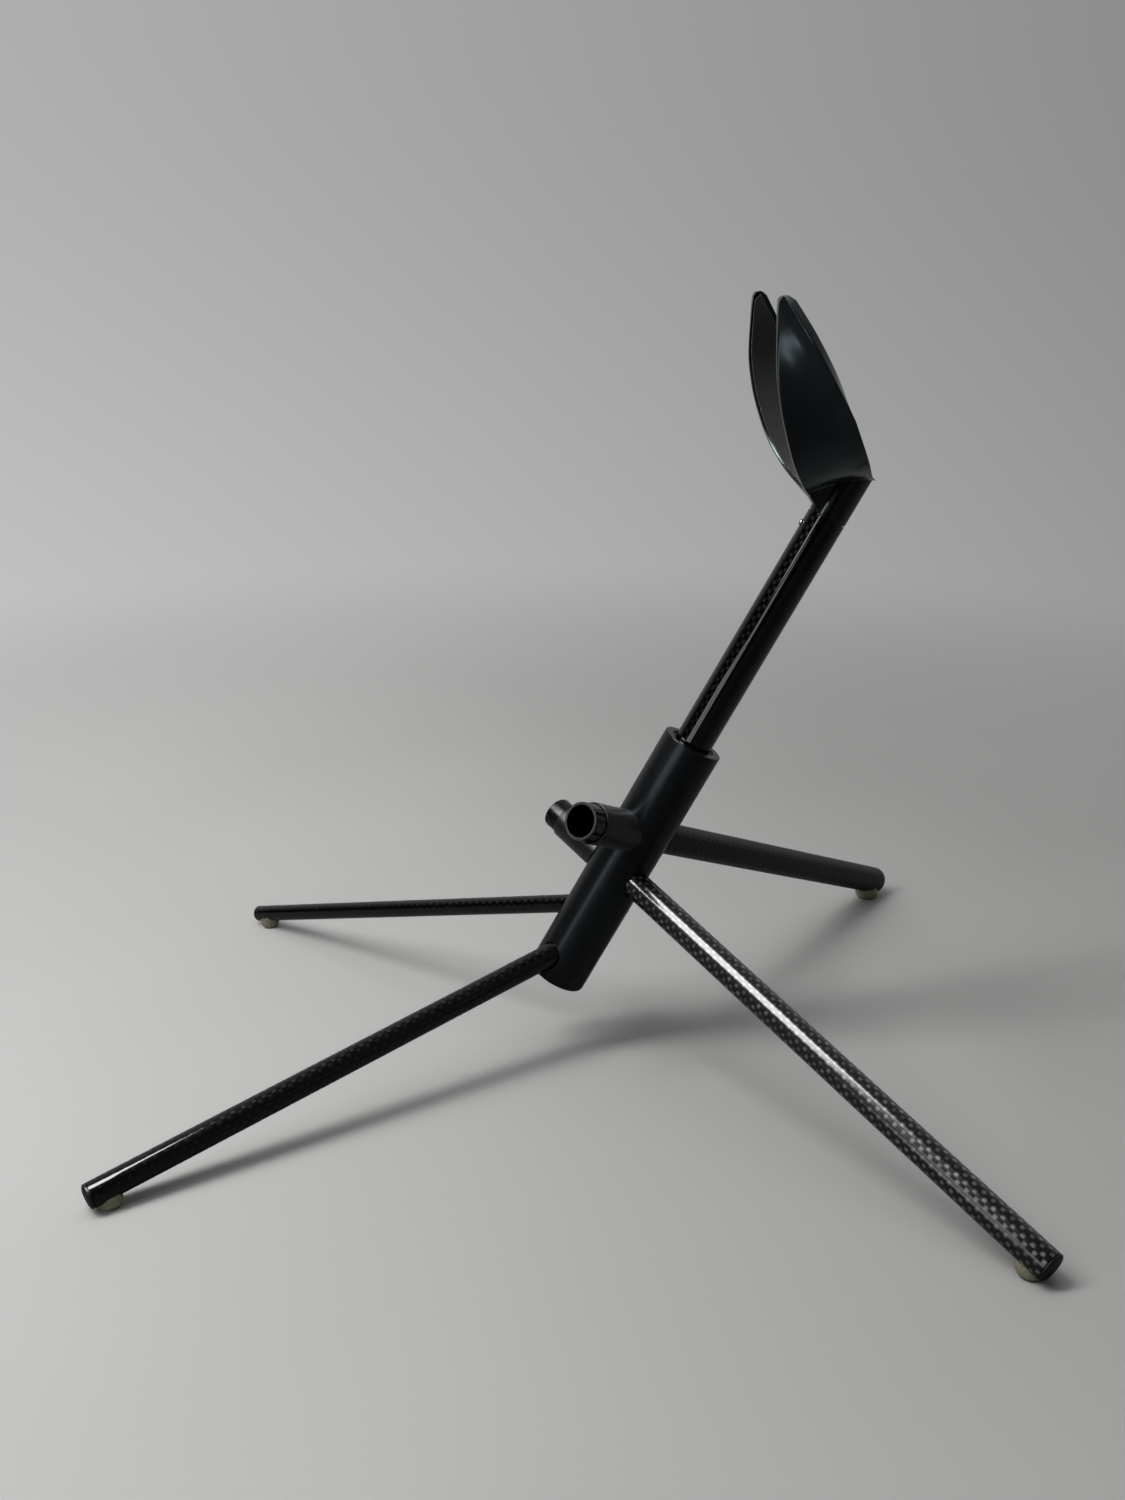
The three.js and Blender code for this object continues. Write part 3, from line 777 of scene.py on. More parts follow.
MATERIAL = {
    "hub": satin_bar(),
    "saddle": moulded("moulded_black", tint=(0.72, 1.0, 1.25), base=0.0035, rough=0.19,
                      sheen=(0.77, 0.92, 1.0)),
    "neck": moulded("neck_black", tint=(0.95, 1.0, 1.03), base=0.0018, rough=0.09,
                    sheen=(0.92, 1.0, 1.0)),
    "sleeve": rubber("rubber_sleeve", base=0.0018, rough=0.27),
    "ring": rubber("rubber_ring", base=0.006, rough=0.5),
    "cap": moulded("black_cap", tint=(1.0, 1.0, 1.03), base=0.004, rough=0.30,
                   sheen=(1.0, 1.0, 1.0)),
    "felt": felt(),
    "pad": clear_rubber(),
    "steel": steel(),
    "mast": carbon("carbon_mast", tows=24, cell=2.1, coat_rough=0.03, base=0.0009,
                   contrast=0.45, bump=0.035, scratch=1.0, dust=0.12, spec=0.05),
    "stub_upper": carbon("carbon_stub_upper", tows=24, cell=2.1, coat_rough=0.12, base=0.002,
                         contrast=0.6, bump=0.06, spec=0.12,
                         cut_axis=axes(LEG_FRAME["front_left"])[2]),
    "stub_lower": carbon("carbon_stub_lower", tows=20, cell=2.2, coat_rough=0.22, base=0.0016,
                         contrast=0.6, coat=0.6, bump=0.06, spec=0.08,
                         cut_axis=axes(LEG_FRAME["front_right"])[2]),
    "front_left": carbon("carbon_satin_14", tows=20, cell=2.2, coat_rough=0.42, base=0.013,
                         contrast=0.045, coat=0.5, fibre_rough=0.5, bump=0.022, scratch=0.4,
                         dust=0.8, spec=0.12, aniso=0.3),
    "front_right": carbon("carbon_gloss_12", tows=18, cell=2.15, coat_rough=0.15, base=0.0056,
                          contrast=2.0, bump=0.14, spec=0.40, fibre_rough=0.40, aniso=0.7),
    "rear_right": carbon("carbon_gloss_10", tows=14, cell=2.2, coat_rough=0.07, base=0.0012,
                         contrast=0.9, bump=0.08, spec=0.08),
    "rear_left": carbon("carbon_gloss_8", tows=12, cell=2.1, coat_rough=0.10, base=0.0015,
                        contrast=0.7, bump=0.06, spec=0.06),
}

# ---------------------------------------------------------------- hub


def mouth_cutter(matrix, radius, sign):
    """Cuts a chamfer along the curve where a bore leaves the bar: a square section, corner
    outwards. `sign` picks the bore's end, +1 towards its frame's z."""
    origin = matrix.to_translation()
    top, side, direction = axes(matrix)
    half = 0.42 * MM  # half the section's diagonal
    steps = 120
    rows = []
    for i in range(steps):
        angle = 2 * math.pi * i / steps
        start = origin + (top * math.cos(angle) + side * math.sin(angle)) * (radius * MM)
        # where the line from here along the bore meets the bar's surface
        offset = start - HUB_ORIGIN
        flat_offset = offset - UP * offset.dot(UP)
        flat_direction = direction - UP * direction.dot(UP)
        square = flat_direction.dot(flat_direction)
        linear = 2 * flat_offset.dot(flat_direction)
        constant = flat_offset.dot(flat_offset) - (HUB_R * MM) ** 2
        root = math.sqrt(linear * linear - 4 * square * constant)
        point = start + direction * ((-linear + sign * root) / (2 * square))
        offset = point - HUB_ORIGIN
        bar_normal = (offset - UP * offset.dot(UP)).normalized()
        bore_normal = (start - origin).normalized()
        tangent = bar_normal.cross(bore_normal).normalized()
        across = tangent.cross(bar_normal).normalized()
        if across.dot(bore_normal) < 0:
            across = -across
        rows.append([point + across * (a * half) + bar_normal * (b * half)
                     for a, b in ((1.0, 0.0), (0.0, 1.0), (-1.0, 0.0), (0.0, -1.0))])
    return placed(skin(rows, closed=True), Matrix.Identity(4))


def leg_bore_cutters(name):
    """A leg's bore with its ring groove, and the chamfers at its mouths."""
    leg, matrix = LEGS[name], LEG_FRAME[name]
    bore = leg["od"] / 2 + CLEARANCE
    stub_bore = leg["od"] / 2 + (STUB_OUT + CLEARANCE)
    groove = bore + 1.4
    groove_start, groove_end = leg["ring"] - 0.9, leg["ring"] + 0.9
    if leg["through"]:
        profile = [(0, -40), (stub_bore, -40), (stub_bore, 5.1), (bore, 5.1)]
    else:
        bottom = -leg["root"] - 0.5
        profile = [(0, bottom), (bore, bottom)]
    profile += [(bore, groove_start), (groove, groove_start), (groove, groove_end),
                (bore, groove_end), (bore, 40), (0, 40)]
    cutters = [placed(lathe(profile, 96), matrix), mouth_cutter(matrix, bore, 1.0)]
    if leg["through"]:
        cutters.append(mouth_cutter(matrix, stub_bore, -1.0))
    return cutters


def hub_bar():
    """The turned bar, with the mast's bore from above and the legs' bores across."""
    length = HUB_LENGTH
    mouth, groove = MAST_BORE_R + 1.3, MAST_BORE_R + 1.5
    profile = rounded([
        (0, 0, 0), (HUB_R, 0, 1.1), (HUB_R, length, 0.45),
        (mouth, length, 0.35), (mouth, length - 0.9, 0.2), (MAST_BORE_R, length - 1.6, 0.15),
        (MAST_BORE_R, MAST_RING_Z + 1.0, 0.1), (groove, MAST_RING_Z + 1.0, 0.05),
        (groove, MAST_RING_Z - 1.0, 0.05), (MAST_BORE_R, MAST_RING_Z - 1.0, 0.1),
        (MAST_BORE_R, MAST_BORE_FLOOR, 0.2), (0, MAST_BORE_FLOOR, 0),
    ], steps=5)
    bar = placed(lathe(subdivided(profile, 30.0, closed=False), 192), HUB)
    cutters = [cutter for name in LEGS for cutter in leg_bore_cutters(name)]
    ob = make("hub_bar", boolean(bar, cutters), "hub", "hub_body",
              MATERIAL["hub"], smooth=28)
    radial_normals(ob, HUB_R)


hub_bar()

# ---------------------------------------------------------------- legs, cross stubs, sleeves


def friction_ring(name, bore, z, segments, matrix, body, cad_piece):
    """A round-section ring in its groove."""
    angles = [2 * math.pi * i / 20 for i in range(20)]
    centre_r = bore + RING_OUT
    section = [(centre_r + RING_SECTION_R * math.cos(a), z + RING_SECTION_R * math.sin(a))
               for a in angles]
    make(name, lathe(section, segments, closed=True), body, cad_piece,
         MATERIAL["ring"], smooth=60, matrix=matrix)


def leg_tube(name):
    radius, matrix = LEGS[name]["od"] / 2, LEG_FRAME[name]
    start, end = span(name + "_leg_tube", *axis_of(matrix))
    profile = tube_profile(radius - TUBE_WALL, radius, start, end, edge=0.18)
    make(name + "_tube", lathe(profile, 112, closed=True), name + "_leg", name + "_leg_tube",
         MATERIAL[name], smooth=35, matrix=matrix)


def leg_cap(name):
    """A low dome over the tube's wall, its spigot down the bore."""
    radius, matrix = LEGS[name]["od"] / 2, LEG_FRAME[name]
    start, end = span(name + "_end_cap", *axis_of(matrix))
    seat = end - 1.5
    dome = seat + 0.28  # where the straight rim ends
    spigot = radius - TUBE_WALL - CLEARANCE
    profile = rounded([(0, start, 0), (spigot, start, 0.7), (spigot, seat, 0),
                       (radius, seat, 0)], steps=3)
    profile += [(radius * math.cos(a) ** 0.55, dome + (end - dome) * math.sin(a))
                for a in [math.pi / 2 * i / 10 for i in range(10)]]
    profile += [(0, end)]
    make(name + "_cap", lathe(profile, 96), name + "_leg", name + "_end_cap",
         MATERIAL["cap"], smooth=40, matrix=matrix)


def foot_pad(name):
    """A crowned button under the tube's end, its top hollowed to the tube."""
    radius, matrix, pad_r = LEGS[name]["od"] / 2, LEG_FRAME[name], LEGS[name]["pad_r"]
    origin, direction = axis_of(matrix)
    end = span(name + "_leg_tube", origin, direction)[1]
    low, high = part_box(name + "_foot_pad")
    height = (high.z - low.z) / MM + 1.0
    sole_r, crown_z, crown_height = 3.3, 0.03, 2.9
    profile = [(0, 0), (2.9, 0), (sole_r, crown_z)]
    profile += [(sole_r + (pad_r - sole_r) * math.sin(a),
                 crown_z + crown_height * (1 - math.cos(a)))
                for a in [math.pi / 2 * i / 10 for i in range(1, 11)]]
    profile += [(pad_r, height), (0, height)]
    sole = Matrix.Translation(Vector(mounts[name + "_sole"]["pos_m"]))
    pad = placed(lathe(profile, 72), sole)
    tube = placed(rod(radius + 0.12, end - 60, end + 30, 112), matrix)
    # takes off all that stands higher than 0.45 of the radius below the tube's axis
    top, side, _ = axes(matrix)
    above = block(basis(side * 0.05, direction * 0.2, top * 0.04,
                        origin + direction * (end * MM) + top * (0.02 - 0.45 * radius * MM)))
    make(name + "_pad", boolean(pad, [tube, above]), name + "_leg", name + "_foot_pad",
         MATERIAL["pad"], smooth=35)


def cross_stub(name):
    """The carbon stub across the hub that a front leg plugs into."""
    leg, matrix = LEGS[name], LEG_FRAME[name]
    radius = leg["od"] / 2
    node = "cross_tube_" + leg["through"]
    start, end = span(node, *axis_of(matrix))
    outer, socket, bore = radius + STUB_OUT, radius + CLEARANCE, radius - 0.2
    floor = -leg["root"] - 0.3
    profile = rounded([
        (bore, start, 0.3), (outer, start, 0.3), (outer, end, 0.2),
        (socket, end, 0.1), (socket, floor, 0.05), (bore, floor, 0.05),
    ], steps=4)
    mesh = lathe(subdivided(profile, 10.0, closed=True), 128, closed=True)
    make("cross_stub_" + leg["through"], mesh, "hub", node,
         MATERIAL["stub_" + leg["through"]], smooth=35, matrix=matrix)


def rest_sleeve(name):
    """The rubber sleeve on a cross stub, cut to the round of the hub."""
    matrix = LEG_FRAME[name]
    stub_r = LEGS[name]["od"] / 2 + STUB_OUT
    node = "rest_sleeve_" + REST_SIDE[LEGS[name]["through"]]
    start = span(node, *axis_of(matrix))[0]
    profile = tube_profile(stub_r + 0.12, stub_r + 0.8, start, -2.0, edge=0.28, step=4.0)
    sleeve = placed(lathe(profile, 128, closed=True), matrix)
    hub_space = placed(rod(HUB_R + 0.3, -20, 140, 192), HUB)
    make(node + "_skin", keep_largest(boolean(sleeve, [hub_space])), "hub", node,
         MATERIAL["sleeve"], smooth=35)


for leg_name, leg in LEGS.items():
    leg_tube(leg_name)
    leg_cap(leg_name)
    friction_ring(leg_name + "_ring", leg["od"] / 2 + CLEARANCE, leg["ring"], 96,
                  LEG_FRAME[leg_name], leg_name + "_ring", leg_name + "_socket_ring")
    foot_pad(leg_name)
    if leg["through"]:
        cross_stub(leg_name)
        rest_sleeve(leg_name)

# ---------------------------------------------------------------- mast, its ring and pin


def pin_hole(start):
    return placed(rod(PIN_HOLE_R, start, 20, 48), PIN)


def mast_pole():
    start, end = span("mast_tube", HUB_ORIGIN, UP)
    profile = tube_profile(MAST_R - TUBE_WALL, MAST_R, start, end, edge=0.3, step=6.0)
    tube = placed(lathe(profile, 160, closed=True), HUB)
    ob = make("mast_pole", boolean(tube, [pin_hole(0)]), "mast", "mast_tube",
              MATERIAL["mast"], smooth=35)
    radial_normals(ob, MAST_R)


def neck_button():
    """The domed steel pin that joins the neck to the mast."""
    profile = rounded([(0, 2.4, 0), (PIN_R, 2.4, 0.3), (PIN_R, PIN_SHOULDER, 0)], steps=3)
    profile += [(PIN_R * math.cos(a), PIN_SHOULDER + (PIN_TOP - PIN_SHOULDER) * math.sin(a))
                for a in [math.pi / 2 * i / 8 for i in range(1, 8)]]
    profile += [(0, PIN_TOP)]
    make("neck_button", lathe(profile, 48), "mast", "neck_pin", MATERIAL["steel"],
         smooth=40, matrix=PIN)


mast_pole()
friction_ring("mast_ring", MAST_BORE_R, MAST_RING_Z, 128, HUB, "mast_ring", "mast_socket_ring")
neck_button()

# ---------------------------------------------------------------- cradle, in the bell's frame

# (depth from the rim, radius): the bell's wall, and the outside of the saddle
bell_wall = pchip([(4, 50.0), (7.5, 47.3), (12, 45.2), (21, 42.8), (37, 40.0)])
saddle_outside = pchip([(10.2, 52.8), (14.8, 49.4), (21, 46.7), (28, 45.3), (37, 44.5)])

# The crescent's outline in side view: (depth from the rim, height against the frame's x),
# down the rim side to the tip and back along the throat side.
RIM_SIDE = [
    (10.1, -60), (10.1, -53), (11.3, -50), (11.7, -46), (11.5, -40), (10.8, -28), (9.8, -18),
    (8.4, -8), (7.5, 2), (7.0, 15), (6.8, 25.7), (7.5, 27.8), (8.9, 29.8), (10.6, 30.4),
]
THROAT_SIDE = [
    (10.9, 30.41), (11.8, 30.2), (13, 29.0), (15.6, 25.3), (18.3, 21), (22.3, 14.7),
    (25.9, 8.4), (29, 1.3), (31.5, -5.4), (33.8, -13.5), (35.5, -21), (36.5, -28.5),
    (36.6, -36), (35.7, -44), (35.1, -60),
]
TIP_HEIGHT = 30.42
TIP_DEPTH = 10.9  # where the two sides meet
rim_edge = pchip([(height, depth) for depth, height in RIM_SIDE])
throat_edge = pchip([(height, depth) for depth, height in reversed(THROAT_SIDE)])

# A surface of revolution: radius at a depth, its axis's x, and the least depth it reaches.
Surface = namedtuple("Surface", "radius shift first_depth")


def height_at(surface, depth, angle):
    """Height of a surface at an angle from the frame's x."""
    return -(surface.shift + surface.radius(depth) * math.cos(angle))


def edge_depth(edge, surface, angle):
    """Depth where a surface leaves the outline at an angle, by bisection."""
    low, high = (4.0, TIP_DEPTH) if edge is rim_edge else (TIP_DEPTH, 37.0)
    if edge is rim_edge and angle < math.radians(95):
        high = 13.0
    for _ in range(40):
        middle = (low + high) / 2
        if middle - edge(min(height_at(surface, middle, angle), TIP_HEIGHT)) < 0:
            low = middle
        else:
            high = middle
    return (low + high) / 2


def tip_angle(surface, tip_inset):
    """Angle at which a surface reaches the crescent's tip, by bisection."""
    low, high = math.radians(90), math.radians(170)
    for _ in range(50):
        middle = (low + high) / 2
        if height_at(surface, 10.8, middle) < TIP_HEIGHT - tip_inset:
            low = middle
        else:
            high = middle
    return low


def depth_range(surface, angle, inset):
    """A surface's depths at the rim side and throat side, kept at least 0.06 apart."""
    rim = max(edge_depth(rim_edge, surface, abs(angle)), surface.first_depth) + inset
    throat = edge_depth(throat_edge, surface, abs(angle)) - inset
    if throat < rim + 0.06:
        middle = (throat + rim) / 2
        return middle - 0.03, middle + 0.03
    return rim, throat


def surface_run(surface, angle, start, end, steps):
    """Points on a surface at one angle, from one depth to another."""
    points = []
    for j in range(steps + 1):
        depth = start + (end - start) * j / steps
        r = surface.radius(depth)
        points.append(Vector((surface.shift + r * math.cos(angle), r * math.sin(angle), depth)))
    return points


def trimmed(run, start_cut, end_cut):
    """Cuts a polyline back from both ends by arc length, keeping its point count."""
    lengths = [0.0]
    for a, b in zip(run, run[1:]):
        lengths.append(lengths[-1] + (b - a).length)
    total = lengths[-1]
    start_cut, end_cut = min(start_cut, total * 0.45), min(end_cut, total * 0.45)
    points = []
    for j in range(len(run)):
        x = start_cut + (total - start_cut - end_cut) * j / (len(run) - 1)
        i = max(0, min(len(lengths) - 2, int(np.searchsorted(lengths, x)) - 1))
        gap = lengths[i + 1] - lengths[i]
        points.append(run[i].lerp(run[i + 1], 0 if gap < 1e-9 else (x - lengths[i]) / gap))
    return points


def crescent_section(outer_run, inner_run, fillets):
    """A closed section from the outer run and the inner run back, with rounded corners."""
    runs = [
        outer_run,
        [outer_run[-1].lerp(inner_run[0], j / 4) for j in range(5)],
        inner_run,
        [inner_run[-1].lerp(outer_run[0], j / 4) for j in range(5)],
    ]
    cut = [trimmed(run, fillets[i], fillets[(i + 1) % 4]) for i, run in enumerate(runs)]
    section = []
    for i in range(4):
        following = (i + 1) % 4
        start, corner, end = cut[i][-1], runs[following][0], cut[following][0]
        section += cut[i] + [bezier(start, corner, end, j / 6) for j in range(1, 6)]
    return section


def crescent(inner, outer, *, steps, fillets, inner_steps, outer_steps, inset=0.0,
             tip_inset=0.0):
    """A shell between two surfaces, held `inset` inside the outline. The fillets are at the
    rim side outside, throat side outside, throat side inside and rim side inside."""
    inner_tip, outer_tip = tip_angle(inner, tip_inset), tip_angle(outer, tip_inset)
    rows = []
    for i in range(steps + 1):
        # stations crowd together towards the two tips
        even = -1.0 + 2.0 * i / steps
        share = 0.12 * even + 0.88 * math.sin(even * math.pi / 2)
        inner_angle, outer_angle = share * inner_tip, share * outer_tip
        inner_rim, inner_throat = depth_range(inner, inner_angle, inset)
        outer_rim, outer_throat = depth_range(outer, outer_angle, inset)
        # fillets shrink where the section is narrow
        narrowing = min(1.0, max(outer_throat - outer_rim, 0.06) / 6.0)
        section = crescent_section(
            surface_run(outer, outer_angle, outer_rim, outer_throat, outer_steps),
            surface_run(inner, inner_angle, inner_throat, inner_rim, inner_steps),
            [fillet * narrowing + 0.02 for fillet in fillets],
        )
        rows.append([point * MM for point in section])
    return skin(rows)


# z runs outwards through the saddle, from its inside
bell_x, bell_y, bell_z = axes(BELL)
SCREW = basis(bell_y, bell_z, bell_x, BELL @ Vector(
    ((bell_wall(SCREW_DEPTH) + SADDLE_GAP) * MM, 0, SCREW_DEPTH * MM)))


def screw_sink(start, end):
    """The countersunk hole for the screw."""
    return placed(lathe([(0, start), (SINK_R, start), (SINK_R, 0.9), (SCREW_HOLE_R, 3.1),
                         (SCREW_HOLE_R, end), (0, end)], 48), SCREW)


def saddle_shell():
    """The moulded crescent that wraps the bell."""
    inner = Surface(lambda depth: bell_wall(depth) + SADDLE_GAP, 0.0, 7.0)
    outer = Surface(saddle_outside, SADDLE_SHIFT, 10.2)
    saddle = crescent(inner, outer, steps=300, fillets=(0.55, 0.9, 0.6, 0.7),
                      inner_steps=22, outer_steps=26)
    placed(saddle, BELL)
    make("saddle_shell", boolean(saddle, [screw_sink(-3, 12)]), "mast", "cradle_saddle",
         MATERIAL["saddle"], smooth=32)


def lining_pile():
    """The felt: a thin sheet between bell and saddle, its surface a little uneven."""
    inner = Surface(lambda depth: bell_wall(depth) + 0.05, 0.0, 8.3)
    outer = Surface(lambda depth: bell_wall(depth) + 0.8, 0.0, 8.3)
    lining = crescent(inner, outer, steps=150, fillets=(0.3, 0.3, 0.3, 0.3),
                      inner_steps=20, outer_steps=20, inset=1.2, tip_inset=2.0)
    for vert in lining.vertices:
        x, y, z = np.array(vert.co) / MM
        push = 0.10 * math.sin(x * 1.9 + 1.0) * math.sin(y * 1.3) * math.sin(z * 1.7 + 0.5)
        radial = Vector((vert.co.x, vert.co.y, 0))
        # the face against the saddle moves less
        if radial.length > bell_wall(z) * MM + 0.0004:
            push *= 0.3
        vert.co -= radial.normalized() * max(0.0, push) * MM * 0.6
    make("lining_pile", lining, "mast", "saddle_liner", MATERIAL["felt"],
         smooth=40, matrix=BELL)


def cradle_screw():
    """The countersunk screw, with a dimple in its head."""
    profile = [(0, 1.9), (1.1, 1.9), (1.5, 0.98), (3.6, 0.96), (3.9, 1.12), (3.9, 1.2),
               (2.0, 3.02), (2.0, 9.4), (1.4, 10.0), (0, 10.0)]
    make("cradle_screw", lathe(profile, 48), "mast", "saddle_screw",
         MATERIAL["steel"], smooth=30, matrix=SCREW)


saddle_shell()
lining_pile()
cradle_screw()

# ---------------------------------------------------------------- neck, in the hub's frame


def gusset():
    """A rib with a rounded nose, from the round body out towards the throat side."""
    # (x, z, corner cut)
    outline = rounded([
        (-7.0, 231.2, 0), (-7.75, 231.9, 1.0), (-11.6, 234.4, 3.0), (-15.3, 236.4, 0.9),
        (-16.1, 237.4, 1.2), (-12, 250, 0), (0, 250, 0), (0, 231.2, 0),
    ], steps=5)
    half = 6.0
    # (y, how far the outline shrinks): the two sides are eased
    layers = [(-half, 0.9), (-half + 0.5, 0.25), (-half + 1.1, 0.0),
              (half - 1.1, 0.0), (half - 0.5, 0.25), (half, 0.9)]
    centre = Vector((-6.0, 240.0))
    rows = []
    for y, shrink in layers:
        row = []
        for point in map(Vector, outline):
            point = point - (point - centre).normalized() * shrink
            row.append((point.x * MM, y * MM, point.y * MM))
        rows.append(row)
    return placed(skin(rows), HUB)


def saddle_space():
    """The solid the saddle wraps, a little oversize, to hollow the neck's top."""
    profile = [(0, 6.5), (bell_wall(7.0) + SADDLE_GAP + 0.1, 6.5), (52.9, 10.1)]
    profile += [(saddle_outside(z) + 0.12, z) for z in np.linspace(10.3, 36.9, 40)]
    profile += [(0, 37)]
    return placed(lathe(profile, 256), BELL @ Matrix.Translation((SADDLE_SHIFT * MM, 0, 0)))


def beyond_saddle(start, end):
    """A slab between two depths of the bell's frame, with room left for the neck's shaft."""
    centre = Matrix.Translation((0.06, 0, (start + end) / 2 * MM))
    slab = block(BELL @ centre @ Matrix.Diagonal((0.14, 0.09, (end - start) * MM, 1)))
    return boolean(slab, [placed(rod(MAST_R + 0.05, 205, 233.2, 160), HUB)])


def cradle_neck_body():
    """A plug in the mast, a round body and a gusset, hollowed on top to the saddle."""
    profile = [
        (0, 212), (6.2, 212), (NECK_PLUG_R, 213), (NECK_PLUG_R, NECK_SEAM), (7.72, NECK_SEAM),
        (7.93, NECK_SEAM + 0.08), (MAST_R, NECK_SEAM + 0.28), (MAST_R, 264), (0, 264),
    ]
    body = placed(lathe(subdivided(profile, 8.0, closed=False), 160), HUB)
    cutters = [saddle_space(), beyond_saddle(-60, 10.1), beyond_saddle(35.1, 120),
               screw_sink(0, 10.5), pin_hole(2)]
    mesh = keep_largest(boolean(body, cutters, unions=[gusset()]))
    ob = make("cradle_neck_body", mesh, "mast", "cradle_neck",
              MATERIAL["neck"], smooth=32)
    radial_normals(ob, MAST_R)


cradle_neck_body()

# ---------------------------------------------------------------- floor, in metres

BACKDROP = (0.345, 0.346, 0.344)
# painted light: the backdrop's glow is made brighter towards -x, the side the light comes from
PAINTED_BACKDROP_SLOPE = 0.70  # how fast the backdrop brightens towards -x
FLOOR_RADII = (0.3, 0.6, 1.2, 2.4, 5.0, 12.0)
FLOOR_SEGMENTS = 96


def floor_material():
    """A pale floor, painted darker towards +x, that fades into the backdrop."""
    material, graph = new_material("stage_floor")
    vector = graph.coords()
    x, y, _ = graph.split(vector)
    radius = graph.math("SQRT", x * x + y * y)
    far = graph.ramp(radius, low=0.35, high=1.15)
    # reflections see a dimmer floor, darkest towards the camera
    glossy = graph.add("ShaderNodeLightPath", {}, output="Is Glossy Ray")
    reflected = graph.ramp(y + x * 0.5, low=-0.25, high=0.35, start=0.16, end=0.55)
    dim = 1.0 - glossy * (1.0 - reflected)
    grit = graph.noise(vector, scale=900.0)
    cloud = graph.noise(vector, scale=3.0, detail=2.0)
    grey = graph.ramp(cloud, low=0.3, high=0.7, start=0.50, end=0.475) * dim
    # painted shade: the floor darkens towards +x, away from the light at the left
    grey = grey * graph.ramp(x, low=-0.35, high=0.30, start=1.0, end=0.72)
    near = graph.principled(
        Base_Color=graph.tinted(grey, (1.0, 1.0, 0.995)), Roughness=0.75,
        Specular_IOR_Level=0.1, Normal=graph.bump(grit, strength=0.05, distance=0.0001),
    )
    # painted light: the floor's far part glows as the backdrop, brighter towards -x and lower down
    view_x, _, view_z = graph.split(graph.geometry("Incoming"))
    painted_glow = (1.0 + view_x * PAINTED_BACKDROP_SLOPE) * graph.ramp(
        view_z, low=-0.15, high=0.35, start=1.0, end=1.30)
    backdrop = graph.add("ShaderNodeEmission", {0: BACKDROP, 1: dim * painted_glow})
    graph.finish(graph.mix_shader(far, near, backdrop))
    return material


def stage_floor():
    """A disc just below the feet."""
    bm = bmesh.new()
    centre = bm.verts.new((0, 0, 0))
    angles = [2 * math.pi * k / FLOOR_SEGMENTS for k in range(FLOOR_SEGMENTS)]
    rows = [[bm.verts.new((r * math.cos(a), r * math.sin(a), 0)) for a in angles]
            for r in FLOOR_RADII]
    for k in range(FLOOR_SEGMENTS):
        bm.faces.new((centre, rows[0][k], rows[0][(k + 1) % FLOOR_SEGMENTS]))
    for inner, outer in zip(rows, rows[1:]):
        for k in range(FLOOR_SEGMENTS):
            k2 = (k + 1) % FLOOR_SEGMENTS
            bm.faces.new((inner[k], outer[k], outer[k2], inner[k2]))
    mesh = bpy.data.meshes.new("stage_floor")
    bm.to_mesh(mesh)
    bm.free()
    ob = link("stage_floor", mesh)
    ob.location.z = -0.00015
    mesh.materials.append(floor_material())


stage_floor()

# ---------------------------------------------------------------- world


def studio_world():
    """The camera sees the backdrop; all other rays see a dim room."""
    world = bpy.data.worlds.new("studio")
    bpy.context.scene.world = world
    world.use_nodes = True
    graph = Graph(world.node_tree, "ShaderNodeOutputWorld")
    x, y, z = graph.split(graph.coords("Generated"))
    # the room is paler towards +x, towards +y and overhead
    right = graph.ramp(x, low=0.25, high=0.75)
    beyond = graph.ramp(y, low=0.15, high=0.7)
    room = 0.012 + right * 0.07 + beyond * 0.30 + graph.ramp(z, low=0.6, high=0.95) * 0.06
    room_light = graph.add("ShaderNodeBackground",
                           {0: graph.tinted(room, (1.0, 1.0, 0.98)), 1: 1.0})
    # painted light: the backdrop glows brighter towards -x and lower down
    painted_glow = (1.0 - x * PAINTED_BACKDROP_SLOPE) * graph.ramp(
        z, low=-0.35, high=0.15, start=1.30, end=1.0)
    backdrop = graph.add("ShaderNodeBackground", {0: BACKDROP, 1: painted_glow})
    camera_ray = graph.add("ShaderNodeLightPath", {}, output="Is Camera Ray")
    graph.finish(graph.mix_shader(camera_ray, room_light, backdrop))


studio_world()

# ---------------------------------------------------------------- lights, metres and watts


def aimed(location, target):
    return (Vector(target) - Vector(location)).to_track_quat("-Z", "Y")


def area(name, *, location, target, width, height, power, color):
    light = bpy.data.lights.new(name, "AREA")
    light.shape = "RECTANGLE"
    light.size, light.size_y = width, height
    light.energy = power
    light.color = color
    light.spread = math.radians(180)
    ob = link(name, light)
    ob.location = location
    ob.rotation_mode = "QUATERNION"
    ob.rotation_quaternion = aimed(location, target)
    ob.visible_camera = False
    return ob


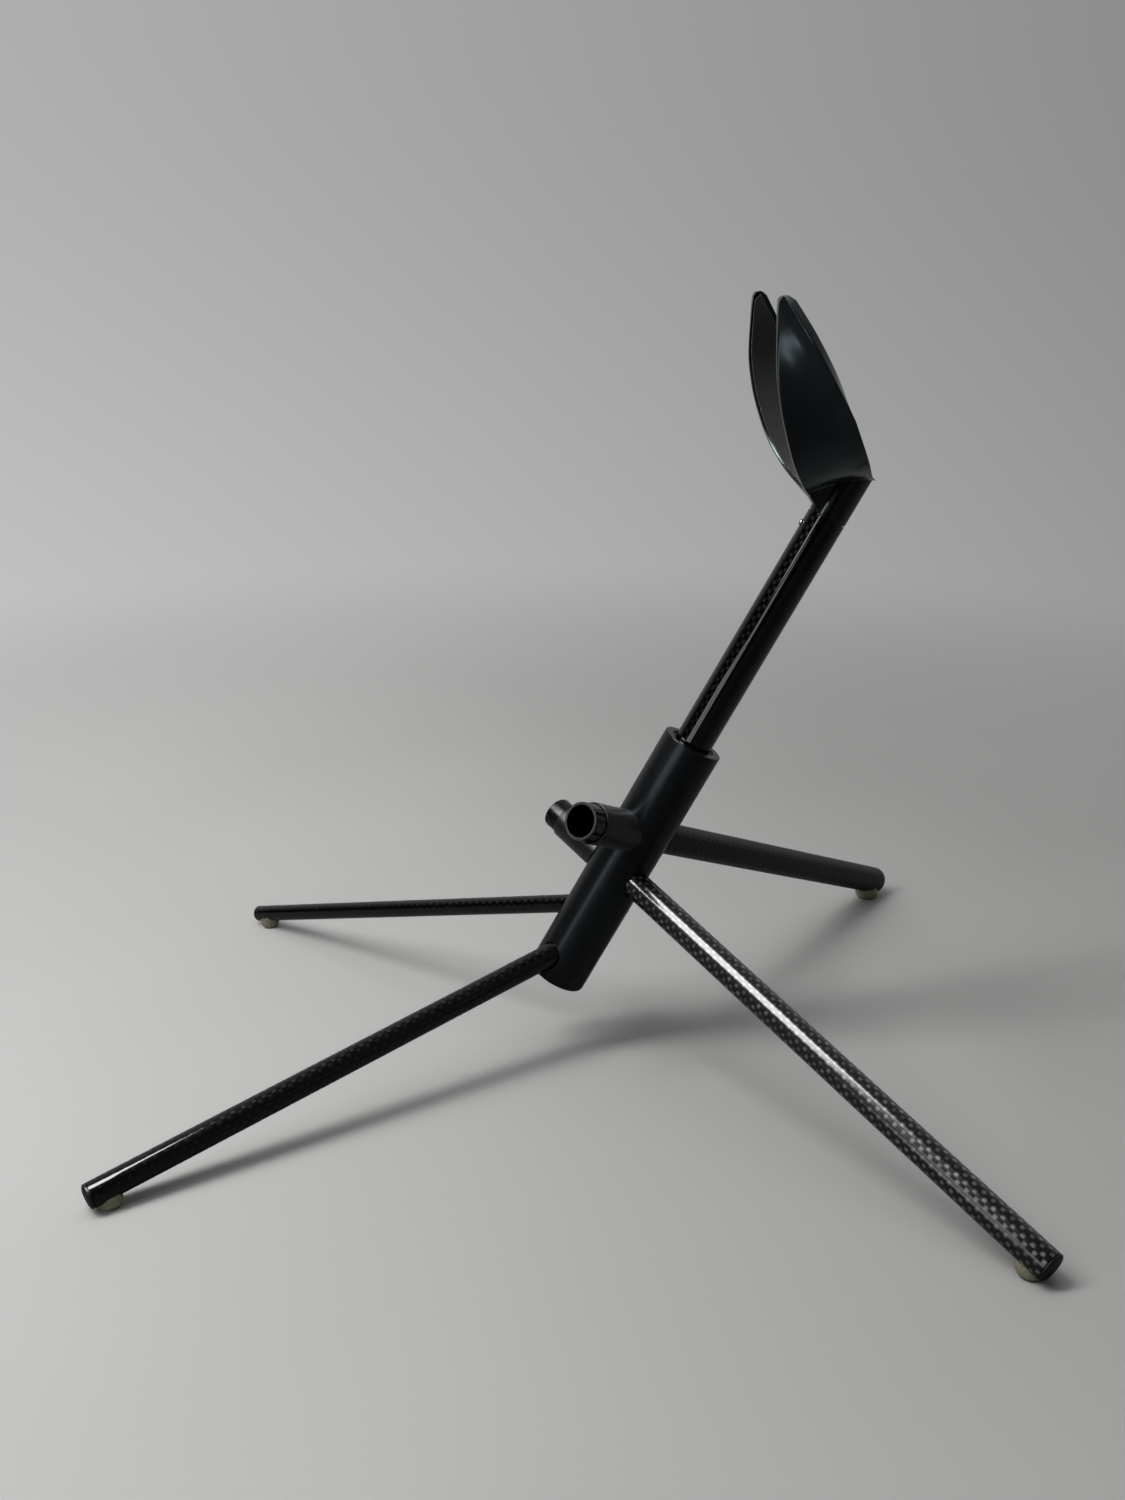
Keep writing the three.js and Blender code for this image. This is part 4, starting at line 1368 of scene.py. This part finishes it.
# a window at the left, in three panes: (bottom, top, x, y, width, power)
WINDOW_PANES = (
    (0.575, 0.86, -0.90, -0.86, 0.20, 0.70),
    (0.25, 0.49, -1.0, -0.83, 0.27, 0.55),
    (0.04, 0.24, -1.12, -0.73, 0.20, 0.45),
)
for i, (bottom, top, x, y, width, power) in enumerate(WINDOW_PANES):
    middle = (bottom + top) / 2
    area("window_%d" % i, location=(x, y, middle), target=(0.03, 0, middle),
         width=width, height=top - bottom, power=power, color=(0.98, 1.0, 1.0))
area("window_low", location=(-0.80, -1.05, 0.36), target=(0.03, 0, 0.28),
     width=0.26, height=0.36, power=0.70, color=(0.99, 1.0, 1.0))

# the main light, a panel high at the left that reflections don't see
KEY_TARGET = (0.04, -0.04, 0.05)
KEY_LENGTHWAYS = Vector((0.28, 0.09, 0.20))  # the panel's long side follows this
key = area("key_panel", location=(-0.70, -0.23, 1.16), target=KEY_TARGET,
           width=0.32, height=1.05, power=14.5, color=(1.0, 0.995, 0.985))
key_z = (key.location - Vector(KEY_TARGET)).normalized()
key_y = (KEY_LENGTHWAYS - key_z * KEY_LENGTHWAYS.dot(key_z)).normalized()
key.rotation_quaternion = basis(key_y.cross(key_z), key_y, key_z, key.location).to_quaternion()
key.visible_glossy = False

# the pale ceiling round it, which only the gloss picks up
sheen = area("ceiling_sheen", location=(-0.62, -0.205, 1.19), target=KEY_TARGET,
             width=0.60, height=0.95, power=32.0, color=(1.0, 0.998, 0.99))
sheen.rotation_quaternion = key.rotation_quaternion
sheen.visible_diffuse = False

fill = area("fill_top", location=(-0.25, 0.1, 2.2), target=(0, 0, 0),
            width=2.4, height=2.4, power=20, color=(1.0, 1.0, 1.0))
fill.visible_glossy = False

# ---------------------------------------------------------------- camera and colour

bpy.context.scene.view_settings.view_transform = "Standard"
bpy.context.scene.view_settings.look = "None"

camera = bpy.data.cameras.new("camera")
camera.sensor_fit = "AUTO"
camera.sensor_width = 36.0
camera.lens = 36.0
camera.clip_start, camera.clip_end = 0.01, 40
camera_ob = link("camera", camera)
camera_ob.location = (0.000319, -0.600445, 0.334445)
camera_ob.rotation_mode = "QUATERNION"
camera_ob.rotation_quaternion = aimed(camera_ob.location, (0.0, 0.0, 0.138))
bpy.context.scene.camera = camera_ob
